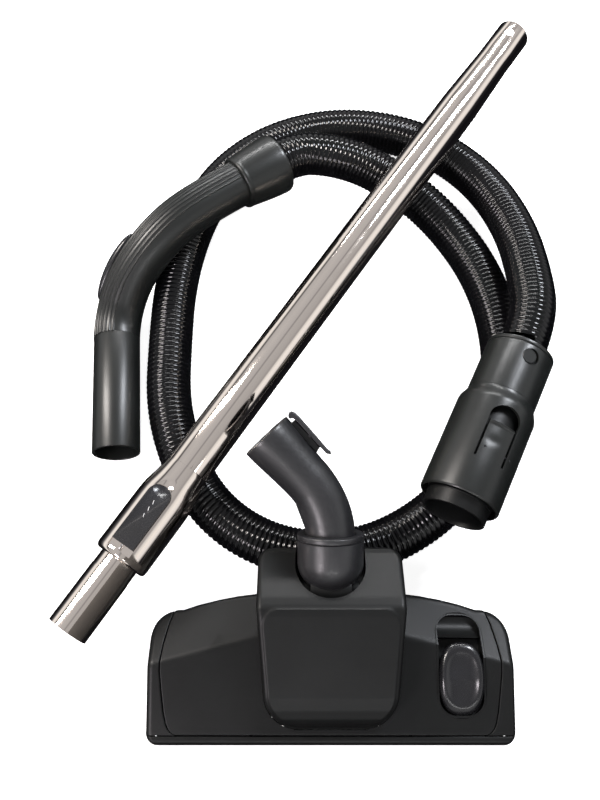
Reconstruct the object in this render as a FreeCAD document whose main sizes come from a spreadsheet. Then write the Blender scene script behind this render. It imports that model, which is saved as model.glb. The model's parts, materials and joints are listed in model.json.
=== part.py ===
import FreeCAD, Part
import Sketcher
import math
import os
import re

# Canister vacuum cleaner's working end, laid out on a floor: suction hose with grip handle and
# machine connector, telescopic chrome tube, and floor head with its swivel elbow.
# Millimetres, +Z up, floor at Z = 0, origin under the middle of the laid-out set.

V = FreeCAD.Vector
DOC = FreeCAD.newDocument("vacuum_set")
SHEET = DOC.addObject("Spreadsheet::Sheet", "Sizes")

# ---------------------------------------------------------------- driving sizes

SIZES = [
    # clearances
    ("run_gap", 0.05),          # shaft in its bearing
    ("slide_gap", 0.3),         # moving plastic beside plastic
    ("seat_gap", 0.1),          # pushed-together plastic
    # hose
    ("hose_dia", 38.0),
    ("hose_bore", 31.5),
    ("ferrule_wall", 2.2),
    ("ferrule_length", 26.0),
    # handle
    ("mouth_bore", 35.3),
    ("mouth_length", 12.0),
    ("lead_length", 20.0),
    ("socket_bore", 31.3),
    ("socket_depth", 46.0),
    ("tip_dia", 39.5),
    ("tip_length", 104.0),
    ("spigot_length", 8.0),
    ("grip_dia", 38.2),
    ("grip_bore", 31.0),
    ("cover_skin", 0.8),
    ("collar_dia", 53.2),
    ("collar_neck_dia", 45.0),
    ("collar_length", 43.0),
    ("collar_wall", 2.6),
    ("bleed_length", 52.0),
    ("bleed_width", 17.0),
    ("bleed_travel", 8.0),
    # connector
    ("cuff_dia", 54.6),
    ("cuff_length", 46.0),
    ("flare_length", 9.0),
    ("sleeve_dia", 61.8),
    ("connector_length", 136.0),
    ("connector_wall", 2.6),
    ("stub_dia", 50.0),
    ("stub_wall", 2.4),
    ("stub_proud", 11.0),
    ("nose_dia", 49.0),
    ("latch_width", 21.0),
    ("latch_length", 38.0),
    # telescopic tube
    ("tube_dia", 35.0),
    ("tube_wall", 0.9),
    ("tube_end_dia", 31.0),
    ("tube_end_length", 40.0),
    ("tube_taper_length", 60.0),
    ("inner_dia", 31.4),
    ("inner_end_dia", 32.0),
    ("inner_end_length", 50.0),
    ("inner_wall", 0.8),
    ("outer_length", 560.0),
    ("collapsed_length", 660.0),
    ("inner_length", 560.0),
    ("sleeve_start", 514.0),
    ("sleeve_flare", 28.0),
    ("adjuster_length", 85.0),
    ("adjuster_dia", 43.6),
    ("bush_length", 30.0),
    ("notch_pitch", 35.0),
    ("notch_dia", 5.0),
    ("snap_hole_dia", 9.0),
    ("snap_hole_inset", 13.0),
    ("button_length", 52.0),
    ("button_width", 19.0),
    ("button_travel", 5.0),
    # floor head
    ("head_width", 272.0),
    ("wing_depth", 108.0),
    ("wing_height", 38.0),
    ("head_wall", 2.4),
    ("end_cap_width", 14.0),
    ("sole_thickness", 2.5),
    ("block_width", 108.0),
    ("block_depth", 139.0),
    ("block_height", 73.0),
    ("crease_y", 89.0),         # where the centre cover is highest
    ("hood_bottom", 41.5),
    ("pivot_y", 106.0),
    ("pivot_z", 51.9),
    ("barrel_dia", 30.0),
    ("barrel_length", 30.0),
    ("trunnion_dia", 10.0),
    ("throat_dia", 27.0),
    ("duct_width", 44.0),
    ("neck_dia", 49.0),
    ("neck_start", 18.8),
    ("neck_reach", 42.8),
    ("neck_lean", 25.0),
    ("elbow_dia", 36.5),
    ("elbow_socket_dia", 40.4),
    ("elbow_socket_bore", 32.4),
    ("elbow_turn", 43.0),
    ("elbow_radius", 50.0),
    ("elbow_straight", 50.0),
    ("wheel_dia", 18.0),
    ("wheel_width", 11.0),
    ("axle_dia", 3.0),
    ("pedal_width", 36.0),
    ("pedal_length", 64.0),
]


def fill_sheet():
    for row, (name, value) in enumerate(SIZES, start=2):
        SHEET.set("A%d" % row, name)
        SHEET.set("B%d" % row, str(value))
        SHEET.setAlias("B%d" % row, name)


fill_sheet()
DOC.recompute()
NAMES = [name for name, value in SIZES]
WORD = re.compile(r"\b(" + "|".join(sorted(NAMES, key=len, reverse=True)) + r")\b")


def size(name):
    return float(SHEET.get(name))


def bind(obj, prop, rule):
    # a rule is a plain number or words of the sheet, such as "tube_dia / 2 + slide_gap"
    if isinstance(rule, str):
        obj.setExpression(prop, WORD.sub(r"Sizes.\1", rule))
    else:
        obj.setExpression(prop, repr(float(rule)))


def base_at(obj, x, y, z):
    bind(obj, "Placement.Base.x", x)
    bind(obj, "Placement.Base.y", y)
    bind(obj, "Placement.Base.z", z)


# ---------------------------------------------------------------- building blocks

ALONG = {
    "x": FreeCAD.Rotation(V(0, 1, 0), 90),
    "y": FreeCAD.Rotation(V(1, 0, 0), -90),
    "z": FreeCAD.Rotation(),
    "-z": FreeCAD.Rotation(V(1, 0, 0), 180),
}


def rod(radius, height, x=0, y=0, z=0, along="z"):
    obj = DOC.addObject("Part::Cylinder", "rod")
    bind(obj, "Radius", radius)
    bind(obj, "Height", height)
    obj.Placement = FreeCAD.Placement(V(), ALONG[along])
    base_at(obj, x, y, z)
    return obj


def cone(radius1, radius2, height, z=0):
    obj = DOC.addObject("Part::Cone", "cone")
    bind(obj, "Radius1", radius1)
    bind(obj, "Radius2", radius2)
    bind(obj, "Height", height)
    base_at(obj, 0, 0, z)
    return obj


def block(lx, ly, lz, x, y, z):
    obj = DOC.addObject("Part::Box", "block")
    bind(obj, "Length", lx)
    bind(obj, "Width", ly)
    bind(obj, "Height", lz)
    base_at(obj, x, y, z)
    return obj


def ring(radius_out, radius_in, height, z=0):
    # a plain tube along Z
    return cut(rod(radius_out, height, z=z), rod(radius_in, "(%s) + 2" % height, z="(%s) - 1" % z))


def fuse(*parts):
    if len(parts) == 1:
        return parts[0]
    obj = DOC.addObject("Part::MultiFuse", "joined")
    obj.Shapes = list(parts)
    return obj


def group(*parts):
    # like pieces kept as separate solids in one node
    obj = DOC.addObject("Part::Compound", "group")
    obj.Links = list(parts)
    return obj


def cut(base, *tools):
    obj = DOC.addObject("Part::Cut", "cut")
    obj.Base = base
    obj.Tool = fuse(*tools)
    return obj


def common(*parts):
    obj = DOC.addObject("Part::MultiCommon", "shared")
    obj.Shapes = list(parts)
    return obj


def plain(shape):
    # a shape made with Part's own functions
    obj = DOC.addObject("Part::Feature", "shape")
    obj.Shape = shape
    return obj


def origin_plane(body, role):
    return [f for f in body.Origin.OriginFeatures if f.Role == role][0]


def outline_sketch(body, plane, corners, offset):
    # a closed outline on one of the body's own planes, moved along that plane's normal. Corners
    # are pairs of rules: X and Y on the XY plane, Y and Z on the YZ plane, X and Z on the XZ plane.
    sketch = body.newObject("Sketcher::SketchObject", "outline")
    sketch.AttachmentSupport = (origin_plane(body, plane), [""])
    sketch.MapMode = "FlatFace"
    bind(sketch, "AttachmentOffset.Base.z", offset)
    spots = [(evaluate(a), evaluate(b)) for a, b in corners]
    count = len(spots)
    for i in range(count):
        a, b = spots[i], spots[(i + 1) % count]
        sketch.addGeometry(Part.LineSegment(V(a[0], a[1], 0), V(b[0], b[1], 0)), False)
    for i in range(count):
        sketch.addConstraint(Sketcher.Constraint("Coincident", i, 2, (i + 1) % count, 1))
    for i, (a, b) in enumerate(corners):
        for kind, rule, value in (("DistanceX", a, spots[i][0]), ("DistanceY", b, spots[i][1])):
            index = sketch.addConstraint(Sketcher.Constraint(kind, -1, 1, i, 1, value))
            if isinstance(rule, str):
                bind(sketch, "Constraints[%d]" % index, rule)
    return sketch


def outline_pad(plane, corners, start, length, rounds=None):
    # a PartDesign body: a sketched outline, padded; rounds is (which edges, radius)
    body = DOC.addObject("PartDesign::Body", "body")
    pad = body.newObject("PartDesign::Pad", "pad")
    pad.Profile = outline_sketch(body, plane, corners, start)
    bind(pad, "Length", length)
    body.Tip = pad
    if rounds:
        DOC.recompute()
        choose, radius = rounds
        names = ["Edge%d" % n for n, e in enumerate(pad.Shape.Edges, start=1) if choose(e)]
        fillet = body.newObject("PartDesign::Fillet", "rounds")
        fillet.Base = (pad, names)
        bind(fillet, "Radius", radius)
        body.Tip = fillet
    return body


def evaluate(rule):
    # the number that a rule stands for, with the sheet's present values
    if not isinstance(rule, str):
        return float(rule)
    total = FreeCAD.Units.Quantity(WORD.sub(lambda m: repr(size(m.group(1))), rule))
    return float(total.Value)


def upright(edge):
    # an edge that runs along Z
    a, b = edge.Vertexes[0].Point, edge.Vertexes[-1].Point
    return abs(a.z - b.z) > 0.5 and abs(a.x - b.x) + abs(a.y - b.y) < 0.01


PIECES = []


def piece(name, obj, place=None):
    # a finished sub-part: its label is its file's name. One that stands off its group's own
    # frame keeps that offset inside the group's placement.
    if place is not None and (obj.TypeId in ("Part::Cylinder", "Part::Box")
                              or not obj.Placement.isIdentity()):
        obj = group(obj)
    obj.Label = name
    if place is not None:
        obj.Placement = place
    PIECES.append(obj)
    return obj


def rounded_path(points, radii_out=None):
    # straight runs joined by tangent arcs, each as large as its two runs allow
    spots = [V(*p) for p in points]
    edges = []
    here = spots[0]
    for before, corner, after in zip(spots, spots[1:], spots[2:]):
        into = corner - before
        away = after - corner
        half = into.getAngle(away) / 2
        reach = 0.45 * min(into.Length, away.Length)
        radius = reach / math.tan(half)
        if radii_out is not None:
            radii_out.append(radius)
        into.normalize()
        away.normalize()
        start = corner - into * reach
        end = corner + away * reach
        inward = away - into
        inward.normalize()
        middle = corner + inward * (radius / math.cos(half) - radius)
        edges.append(Part.LineSegment(here, start).toShape())
        edges.append(Part.Arc(start, middle, end).toShape())
        here = end
    edges.append(Part.LineSegment(here, spots[-1]).toShape())
    return Part.Wire(edges)


def swept(path, radius):
    # a round bar along a path
    first = path.OrderedEdges[0]
    start = first.valueAt(first.FirstParameter)
    heading = first.tangentAt(first.FirstParameter)
    rim = Part.Wire([Part.Circle(start, heading, radius).toShape()])
    return path.makePipeShell([rim], True, True)


def swept_tube(path, radius_out, radius_in):
    return swept(path, radius_out).cut(swept(path, radius_in))


def facing(origin, heading, up=V(0, 0, 1)):
    # a placement whose Z runs along heading and whose Y is as near to up as it can be
    z = V(heading)
    z.normalize()
    x = up.cross(z)
    x.normalize()
    y = z.cross(x)
    m = FreeCAD.Matrix(x.x, y.x, z.x, 0, x.y, y.y, z.y, 0, x.z, y.z, z.z, 0, 0, 0, 0, 1)
    return FreeCAD.Placement(origin, FreeCAD.Placement(m).Rotation)


# ---------------------------------------------------------------- where each item lies

# The hose's route from the handle's collar to the machine connector, set by hand.
HOSE_ROUTE = [
    (-37, 168, 62), (-19, 181, 60.2), (13, 182.5, 54.5), (41, 180, 45), (68, 170, 35),
    (95, 153, 27), (120, 127, 21), (142, 91, 19.1), (156, 49, 19.1), (161, 3, 19.1),
    (156, -44, 19.1), (140, -86, 19.1), (113, -123, 19.1), (79, -153, 19.1), (37, -173, 19.1),
    (-9, -177, 19.1), (-52, -166, 19.1), (-89, -139, 19.1), (-114, -98, 19.1), (-129, -48, 19.1),
    (-130, 8, 19.1), (-129, 66, 19.1), (-117, 128, 19.1), (-92, 184, 19.1), (-47, 224, 19.1),
    (10, 243, 19.1), (68, 239, 19.1), (118, 215, 21), (156, 170, 29), (176, 112, 42),
    (180, 54, 56), (175.5, 7.5, 70), (160.5, -24, 70),
]
# The handle's centre line from its mouth to the collar.
GRIP_ROUTE = [
    (-169, -92, 20.2), (-178, 31.5, 20.6), (-165, 62.8, 42), (-139.4, 90.2, 61), (-109, 116, 69.2),
    (-37, 168, 62),
]
TUBE_TOP = V(185, 306.5, 74)
TUBE_HEADING = V(-371.1, -545.4, -21.5)
HEAD_FRONT = V(6, -315.5, 0)

GRIP_MOUTH = V(*GRIP_ROUTE[0])
GRIP_TIP_HEADING = V(*GRIP_ROUTE[1]) - GRIP_MOUTH
GRIP_TIP_HEADING.normalize()
COLLAR_END = V(*GRIP_ROUTE[-1])
COLLAR_HEADING = COLLAR_END - V(*GRIP_ROUTE[-2])
COLLAR_HEADING.normalize()
CONNECTOR_TOP = V(*HOSE_ROUTE[-1])
CONNECTOR_HEADING = CONNECTOR_TOP - V(*HOSE_ROUTE[-2])
CONNECTOR_HEADING.z = 0
CONNECTOR_HEADING.normalize()

AT_TIP = facing(GRIP_MOUTH, GRIP_TIP_HEADING)
AT_COLLAR = facing(COLLAR_END, COLLAR_HEADING * -1)
AT_CONNECTOR = facing(CONNECTOR_TOP, CONNECTOR_HEADING)
AT_TUBE = facing(TUBE_TOP, TUBE_HEADING)
AT_HEAD = FreeCAD.Placement(HEAD_FRONT, FreeCAD.Rotation())


# ---------------------------------------------------------------- suction hose

bend_radii = []
hose_path = rounded_path(HOSE_ROUTE, bend_radii)
hose_shape = swept_tube(hose_path, size("hose_dia") / 2, size("hose_bore") / 2)
piece("hose", plain(hose_shape))
section = math.pi * (size("hose_dia") ** 2 - size("hose_bore") ** 2) / 4
print("hose length %.0f mm, volume / (section x length) %.5f"
      % (hose_path.Length, hose_shape.Volume / section / hose_path.Length))
print("hose bend radii", " ".join("%.0f" % r for r in bend_radii))

# A ferrule clenched on each end of the hose turns inside the collar and inside the cuff.
FERRULE_R = "hose_dia / 2 + ferrule_wall"
piece("hand_ferrule", ring(FERRULE_R, "hose_bore / 2", "ferrule_length"), AT_COLLAR)
piece("machine_ferrule", ring(FERRULE_R, "hose_bore / 2", "ferrule_length"), AT_CONNECTOR)

# ---------------------------------------------------------------- grip handle

tip = fuse(
    rod("tip_dia / 2", "tip_length"),
    rod("grip_bore / 2 - slide_gap", "spigot_length + 1", z="tip_length - 1"),
)
# The socket has a wide mouth and a tapered lead down to the bore that grips the tube's end.
SOCKET_START = "mouth_length + lead_length"
tip_room = [
    rod("mouth_bore / 2", "mouth_length + 1", z=-1),
    cone("mouth_bore / 2", "socket_bore / 2", "lead_length", z="mouth_length"),
    rod("socket_bore / 2", "socket_depth", z=SOCKET_START),
    rod("grip_bore / 2 - 2", "tip_length", z=SOCKET_START + " + socket_depth - 1"),
]
piece("handle_tip", cut(tip, *tip_room), AT_TIP)

grip_start = GRIP_MOUTH + GRIP_TIP_HEADING * (size("tip_length") + size("seat_gap"))
grip_end = COLLAR_END - COLLAR_HEADING * (size("ferrule_length") + 3)
grip_path = rounded_path([tuple(grip_start)] + GRIP_ROUTE[1:-1] + [tuple(grip_end)])
grip_r = size("grip_dia") / 2
bore_bar = swept(grip_path, size("grip_bore") / 2)

# The air bleed sits on the outer side of the grip, on a flat boss with a slot into the bore.
before, bend, after = (V(*spot) for spot in GRIP_ROUTE[1:4])
bleed_heading = after - before
bleed_middle = (before + bend * 6 + after) * 0.125
bleed_out = V(-0.93, 0.37, 0.1)
AT_BLEED = facing(bleed_middle, bleed_heading, bleed_out)
bleed_reach = grip_r + size("cover_skin") + 1.2


def bleed_bar(width, length, low, high, shift=0, corner=3.0):
    # a rounded bar on the bleed's seat; its height runs along the seat's outward direction
    bar = Part.makeBox(width, high - low, length, V(-width / 2, low, shift - length / 2))
    ends = [e for e in bar.Edges if abs(e.tangentAt(0).y) > 0.9]
    bar = bar.makeFillet(corner, ends)
    bar.Placement = AT_BLEED.multiply(bar.Placement)
    return bar


boss_width = size("bleed_width") + 3
boss_length = size("bleed_length") + size("bleed_travel") + 3
boss = bleed_bar(boss_width, boss_length, 6, bleed_reach)
slot = bleed_bar(6, 10, 0, bleed_reach + 2, shift=18, corner=1.5)
grip = swept(grip_path, grip_r).fuse(boss).cut(bore_bar).cut(slot)
piece("grip_body", plain(grip.removeSplitter()))

cover_path = rounded_path([tuple(grip_start)] + GRIP_ROUTE[1:-1]
                          + [tuple(COLLAR_END - COLLAR_HEADING * (size("collar_length") + 0.4))])
cover = swept_tube(cover_path, grip_r + size("cover_skin") + size("run_gap"), grip_r + size("run_gap"))
window = bleed_bar(boss_width + 0.6, boss_length + 0.6, 4, bleed_reach + 8)
piece("grip_cover", plain(cover.cut(window)))

slider = bleed_bar(size("bleed_width"), size("bleed_length"),
                   bleed_reach + size("run_gap"), bleed_reach + 5.6, shift=4, corner=6)
top_edges = [e for e in slider.Edges
             if AT_BLEED.inverse().multVec(e.CenterOfMass).y > bleed_reach + 5]
piece("bleed_slider", plain(slider.makeFillet(2.4, top_edges)))

collar = cut(
    cone("collar_dia / 2", "collar_neck_dia / 2", "collar_length"),
    rod("collar_dia / 2 - collar_wall - 1", "ferrule_length + 2", z=-0.1),
    rod("grip_dia / 2 + seat_gap", "collar_length + 2", z=-1),
)
piece("hand_collar", collar, AT_COLLAR)
piece("swivel_bush", ring("collar_dia / 2 - collar_wall - 1 - seat_gap", FERRULE_R + " + run_gap",
                          "ferrule_length + 1"), AT_COLLAR)

# ---------------------------------------------------------------- machine connector

MOUTH = "connector_length"
LATCH_TURN = FreeCAD.Placement(V(), FreeCAD.Rotation(V(0, 0, 1), -22))
AT_LATCH = AT_CONNECTOR.multiply(LATCH_TURN)
BUSH_R = "cuff_dia / 2 - connector_wall - seat_gap"

cuff_ring = fuse(
    ring("cuff_dia / 2", FERRULE_R + " + run_gap", 3),
    ring(BUSH_R, FERRULE_R + " + run_gap", "ferrule_length - 2", z=2),
)
piece("cuff_ring", cuff_ring, AT_CONNECTOR)

rivet_turn = FreeCAD.Placement(V(), FreeCAD.Rotation(V(0, 0, 1), -28))
rivet_hole = rod(6.0, "cuff_dia", z=11, along="y")
cuff = fuse(
    ring("cuff_dia / 2", "cuff_dia / 2 - connector_wall", "cuff_length - 3.1", z=3.1),
    ring("cuff_dia / 2 - 1", "cuff_dia / 2 - 6", 3, z="cuff_length - 3"),
    ring("stub_dia / 2 - stub_wall - seat_gap", "stub_dia / 2 - stub_wall - 2.2", 32, z="cuff_length - 3"),
)
piece("connector_cuff", cut(cuff, rivet_hole), AT_CONNECTOR.multiply(rivet_turn))
rivet = fuse(
    rod(5.9, 1.6, y="cuff_dia / 2 - connector_wall + 0.2", z=11, along="y"),
    rod(3.4, 2.2, y="cuff_dia / 2 - connector_wall + 0.2", z=11, along="y"),
)
piece("cuff_rivet", rivet, AT_CONNECTOR.multiply(rivet_turn))

LATCH_TOP = "cuff_length + flare_length + 7"
sleeve_solid = fuse(
    cone("cuff_dia / 2 + 0.2", "sleeve_dia / 2", "flare_length", z="cuff_length + 0.1"),
    rod("sleeve_dia / 2", "connector_length - cuff_length - flare_length - 0.1",
        z="cuff_length + flare_length + 0.1"),
)
sleeve_room = rod("sleeve_dia / 2 - connector_wall", "connector_length", z="cuff_length + flare_length + 2")
sleeve_neck = rod("stub_dia / 2 + seat_gap", "connector_length", z="cuff_length - 5")
latch_window = block("latch_width + 1.4", 20, "latch_length + 1.4", "-latch_width / 2 - 0.7",
                     "sleeve_dia / 2 - 8", LATCH_TOP + " - 0.7")
pin_hole = rod(0.85, 24.4, x=-12.2, y="sleeve_dia / 2 - 2.7", z=LATCH_TOP + " + latch_length - 1.6",
               along="x")
piece("connector_sleeve", cut(sleeve_solid, sleeve_room, sleeve_neck, latch_window, pin_hole), AT_LATCH)

latch_arc = ring("sleeve_dia / 2 - 0.1", "sleeve_dia / 2 - 2.2", "latch_length", z=LATCH_TOP)
latch_reach = block("latch_width", 20, "latch_length", "-latch_width / 2", "sleeve_dia / 2 - 8", LATCH_TOP)
latch_lug = block("latch_width - 6", 3.2, 3.4, "-latch_width / 2 + 3", "sleeve_dia / 2 - 4.4",
                  LATCH_TOP + " + latch_length - 3.4")
latch_bore = rod(0.9, 30, x=-15, y="sleeve_dia / 2 - 2.7", z=LATCH_TOP + " + latch_length - 1.6", along="x")
latch_dish = block("latch_width - 8", 3, 7, "-latch_width / 2 + 4", "sleeve_dia / 2 - 0.9",
                   LATCH_TOP + " + latch_length - 13")
latch = cut(fuse(common(latch_arc, latch_reach), latch_lug), latch_bore, latch_dish)
piece("latch_tab", latch, AT_LATCH)
piece("latch_pin", rod(0.8, 24, x=-12, y="sleeve_dia / 2 - 2.7",
                       z=LATCH_TOP + " + latch_length - 1.6", along="x"), AT_LATCH)

stub = fuse(
    ring("stub_dia / 2", "stub_dia / 2 - stub_wall", "connector_length - cuff_length - 0.8",
         z="cuff_length + 1"),
    ring("nose_dia / 2", "stub_dia / 2 - stub_wall", "stub_proud", z="connector_length"),
    ring("sleeve_dia / 2 - connector_wall - seat_gap", "stub_dia / 2 - 0.5", 3, z="connector_length - 18"),
)
piece("machine_stub", stub, AT_CONNECTOR)
piece("stub_seal", ring("sleeve_dia / 2 - connector_wall - seat_gap", "stub_dia / 2 + run_gap", 5,
                        z="connector_length - 12"), AT_CONNECTOR)

# ---------------------------------------------------------------- telescopic tube

TUBE_BORE = "tube_dia / 2 - tube_wall"
snap_hole = rod("snap_hole_dia / 2", "tube_dia", z="snap_hole_inset", along="y")
# The tube's top end is drawn down to the narrower end that goes into the handle.
TAPER_END = "tube_end_length + tube_taper_length"
tube_skin = fuse(
    rod("tube_end_dia / 2", "tube_end_length"),
    cone("tube_end_dia / 2", "tube_dia / 2", "tube_taper_length", z="tube_end_length"),
    rod("tube_dia / 2", "outer_length - (%s)" % TAPER_END, z=TAPER_END),
)
tube_bore = fuse(
    rod("tube_end_dia / 2 - tube_wall", "tube_end_length + 1", z=-1),
    cone("tube_end_dia / 2 - tube_wall", TUBE_BORE, "tube_taper_length", z="tube_end_length"),
    rod(TUBE_BORE, "outer_length", z=TAPER_END),
)
piece("outer_tube", cut(tube_skin, tube_bore, snap_hole), AT_TUBE)

INNER_TOP = "collapsed_length - inner_length"
LOCK_Z = "outer_length + 22"
notches = [
    rod("notch_dia / 2", "inner_dia", z="%s - %d * notch_pitch" % (LOCK_Z, k), along="y")
    for k in range(11)
]
low_snap = rod("snap_hole_dia / 2", "inner_dia", y="-inner_dia", z="collapsed_length - snap_hole_inset",
               along="y")
INNER_END = "collapsed_length - inner_end_length"
inner_skin = fuse(rod("inner_dia / 2", "inner_length", z=INNER_TOP),
                  rod("inner_end_dia / 2", "inner_end_length", z=INNER_END))
inner_bore = rod("inner_dia / 2 - inner_wall", "inner_length + 2", z=INNER_TOP + " - 1")
inner = cut(inner_skin, inner_bore, low_snap, *notches)
piece("inner_tube", inner, AT_TUBE)
piece("stop_ring", ring(TUBE_BORE + " - run_gap", "inner_dia / 2 + run_gap", 12, z=INNER_TOP), AT_TUBE)

bush = fuse(
    ring(TUBE_BORE + " - run_gap", "inner_dia / 2 + run_gap", "bush_length",
         z="outer_length - bush_length"),
    ring("tube_dia / 2 + 1.2", "inner_dia / 2 + run_gap", 4, z="outer_length"),
)
piece("guide_bush", bush, AT_TUBE)

ADJUSTER_END = "sleeve_start + adjuster_length"
BUTTON_START = "sleeve_start + sleeve_flare - 6"
adjuster_solid = fuse(
    cone("tube_dia / 2 + 1", "adjuster_dia / 2", "sleeve_flare", z="sleeve_start"),
    rod("adjuster_dia / 2", "adjuster_length - sleeve_flare", z="sleeve_start + sleeve_flare"),
)
tube_room = rod("tube_dia / 2 + seat_gap", "outer_length - sleeve_start + 0.1", z="sleeve_start")
wide_room = rod("adjuster_dia / 2 - 2.4", "sleeve_start + adjuster_length - outer_length - 3",
                z="outer_length")
end_bore = rod("inner_dia / 2 + slide_gap", "adjuster_length", z="outer_length")


def button_outline(grow, start, length):
    # a bar with one arched end, standing along local Y over the sleeve's flat
    body = block("button_width + 2 * %s" % grow, "adjuster_dia", "(%s) - button_width / 2" % length,
                 "-button_width / 2 - %s" % grow, 0, "(%s) + button_width / 2" % start)
    arch = rod("button_width / 2 + %s" % grow, "adjuster_dia",
               z="(%s) + button_width / 2" % start, along="y")
    return fuse(body, arch)


button_slot = button_outline("slide_gap", BUTTON_START + " - slide_gap",
                             "button_length + button_travel + 2 * slide_gap")
slot_depth = rod("adjuster_dia / 2 - 4", "adjuster_length", z="sleeve_start")
adjuster = cut(adjuster_solid, tube_room, wide_room, end_bore, cut(button_slot, slot_depth))
piece("adjuster_sleeve", adjuster, AT_TUBE)

button_skin = ring("adjuster_dia / 2 - 0.4", "adjuster_dia / 2 - 2.6", "adjuster_length", z="sleeve_start")
piece("slide_button", common(button_skin, button_outline("0", BUTTON_START, "button_length")), AT_TUBE)
piece("lock_pin", rod("notch_dia / 2 - slide_gap", "adjuster_dia / 2 - inner_dia / 2 - 4.6",
                      y="inner_dia / 2 + slide_gap", z=LOCK_Z, along="y"), AT_TUBE)

# ---------------------------------------------------------------- floor head

HALF = "head_width / 2"
SPLIT = 16.0                    # height where the top housing meets the lower tub


def wing_loft(inset, top_inset, low):
    # both wings as one loft: a crease that leans back towards the middle of the head
    end = [("3 + %s" % inset, low), ("3 + %s" % inset, "20 - %s" % top_inset),
           (54, "wing_height - 4 - %s" % top_inset),
            ("wing_depth - 19 - %s" % inset, "22 - %s" % top_inset),
           ("wing_depth - 19 - %s" % inset, low)]
    middle = [("0.5 + %s" % inset, low), ("0.5 + %s" % inset, "22 - %s" % top_inset),
              (75, "wing_height - %s" % top_inset), ("wing_depth - %s" % inset, "27 - %s" % top_inset),
              ("wing_depth - %s" % inset, low)]
    body = DOC.addObject("PartDesign::Body", "wings")
    places = (("-(%s)" % HALF, end), ("-block_width / 2", middle), ("block_width / 2", middle), (HALF, end))
    sketches = [outline_sketch(body, "YZ_Plane", corners, x) for x, corners in places]
    loft = body.newObject("PartDesign::AdditiveLoft", "wing_loft")
    loft.Profile = sketches[0]
    loft.Sections = sketches[1:]
    loft.Ruled = True
    body.Tip = loft
    return body


def plan(inset, start, length, corner):
    # the head's outline seen from above
    corners = [
        ("-head_width / 2 + %s" % inset, "%s" % inset), ("head_width / 2 - %s" % inset, "%s" % inset),
        ("head_width / 2 - %s" % inset, "wing_depth - 30 - %s" % inset),
        ("head_width / 2 - 22 - %s" % inset, "wing_depth - 12 - %s" % inset),
        ("block_width / 2 + 1 - %s" % inset, "wing_depth - %s" % inset),
        ("-block_width / 2 - 1 + %s" % inset, "wing_depth - %s" % inset),
        ("-head_width / 2 + 22 + %s" % inset, "wing_depth - 12 - %s" % inset),
        ("-head_width / 2 + %s" % inset, "wing_depth - 30 - %s" % inset),
    ]
    return outline_pad("XY_Plane", corners, start, length, rounds=(upright, corner))


def block_plan(grow, start, length, corner):
    # the centre cover's outline seen from above, narrower at the front
    corners = [
        ("-block_width / 2 + 7 - %s" % grow, "11 - %s" % grow),
        ("block_width / 2 - 7 + %s" % grow, "11 - %s" % grow),
        ("block_width / 2 + %s" % grow, "crease_y"),
        ("block_width / 2 + %s" % grow, "block_depth + %s" % grow),
        ("-block_width / 2 - %s" % grow, "block_depth + %s" % grow),
        ("-block_width / 2 - %s" % grow, "crease_y"),
    ]
    return outline_pad("XY_Plane", corners, start, length, rounds=(upright, corner))


def pedal_plan(grow, start, length, low, high, corner):
    # a rounded bar seen from above, around the pedal's centre line
    mid = "head_width / 4 + 28.5"
    corners = [
        ("%s - pedal_width / 2 - %s" % (mid, grow), "%s - %s" % (low, grow)),
        ("%s + pedal_width / 2 + %s" % (mid, grow), "%s - %s" % (low, grow)),
        ("%s + pedal_width / 2 + %s" % (mid, grow), "%s + %s" % (high, grow)),
        ("%s - pedal_width / 2 - %s" % (mid, grow), "%s + %s" % (high, grow)),
    ]
    return outline_pad("XY_Plane", corners, start, length, rounds=(upright, corner))


PEDAL_X = "head_width / 4 + 28.5"
PEDAL_FRONT = "18"
PEDAL_BACK = "18 + pedal_length + 11"
outer_skin = common(wing_loft("0", "0", SPLIT), plan("0", SPLIT - 1, "wing_height", 9))
inner_skin = common(wing_loft("head_wall", "head_wall", SPLIT - 2),
                    plan("head_wall", SPLIT - 2, "wing_height", 7))
shell = cut(outer_skin, inner_skin)
cap_left = block("end_cap_width", "wing_depth", "wing_height", "-head_width / 2", 0, SPLIT - 1)
cap_right = block("end_cap_width", "wing_depth", "wing_height", "head_width / 2 - end_cap_width", 0,
                  SPLIT - 1)
seam_left = block(0.4, "wing_depth", "wing_height", "-head_width / 2 + end_cap_width", 0, SPLIT - 1)
seam_right = block(0.4, "wing_depth", "wing_height", "head_width / 2 - end_cap_width - 0.4", 0, SPLIT - 1)
cover_opening = block_plan("0.7", SPLIT - 1, "block_height", 14)
pedal_opening = pedal_plan("0.4", SPLIT - 1, "block_height", PEDAL_FRONT, PEDAL_BACK, 14)
piece("top_housing",
      cut(shell, cap_left, cap_right, seam_left, seam_right, cover_opening, pedal_opening), AT_HEAD)
piece("end_cap_left", common(shell, cap_left), AT_HEAD)
piece("end_cap_right", common(shell, cap_right), AT_HEAD)

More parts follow.
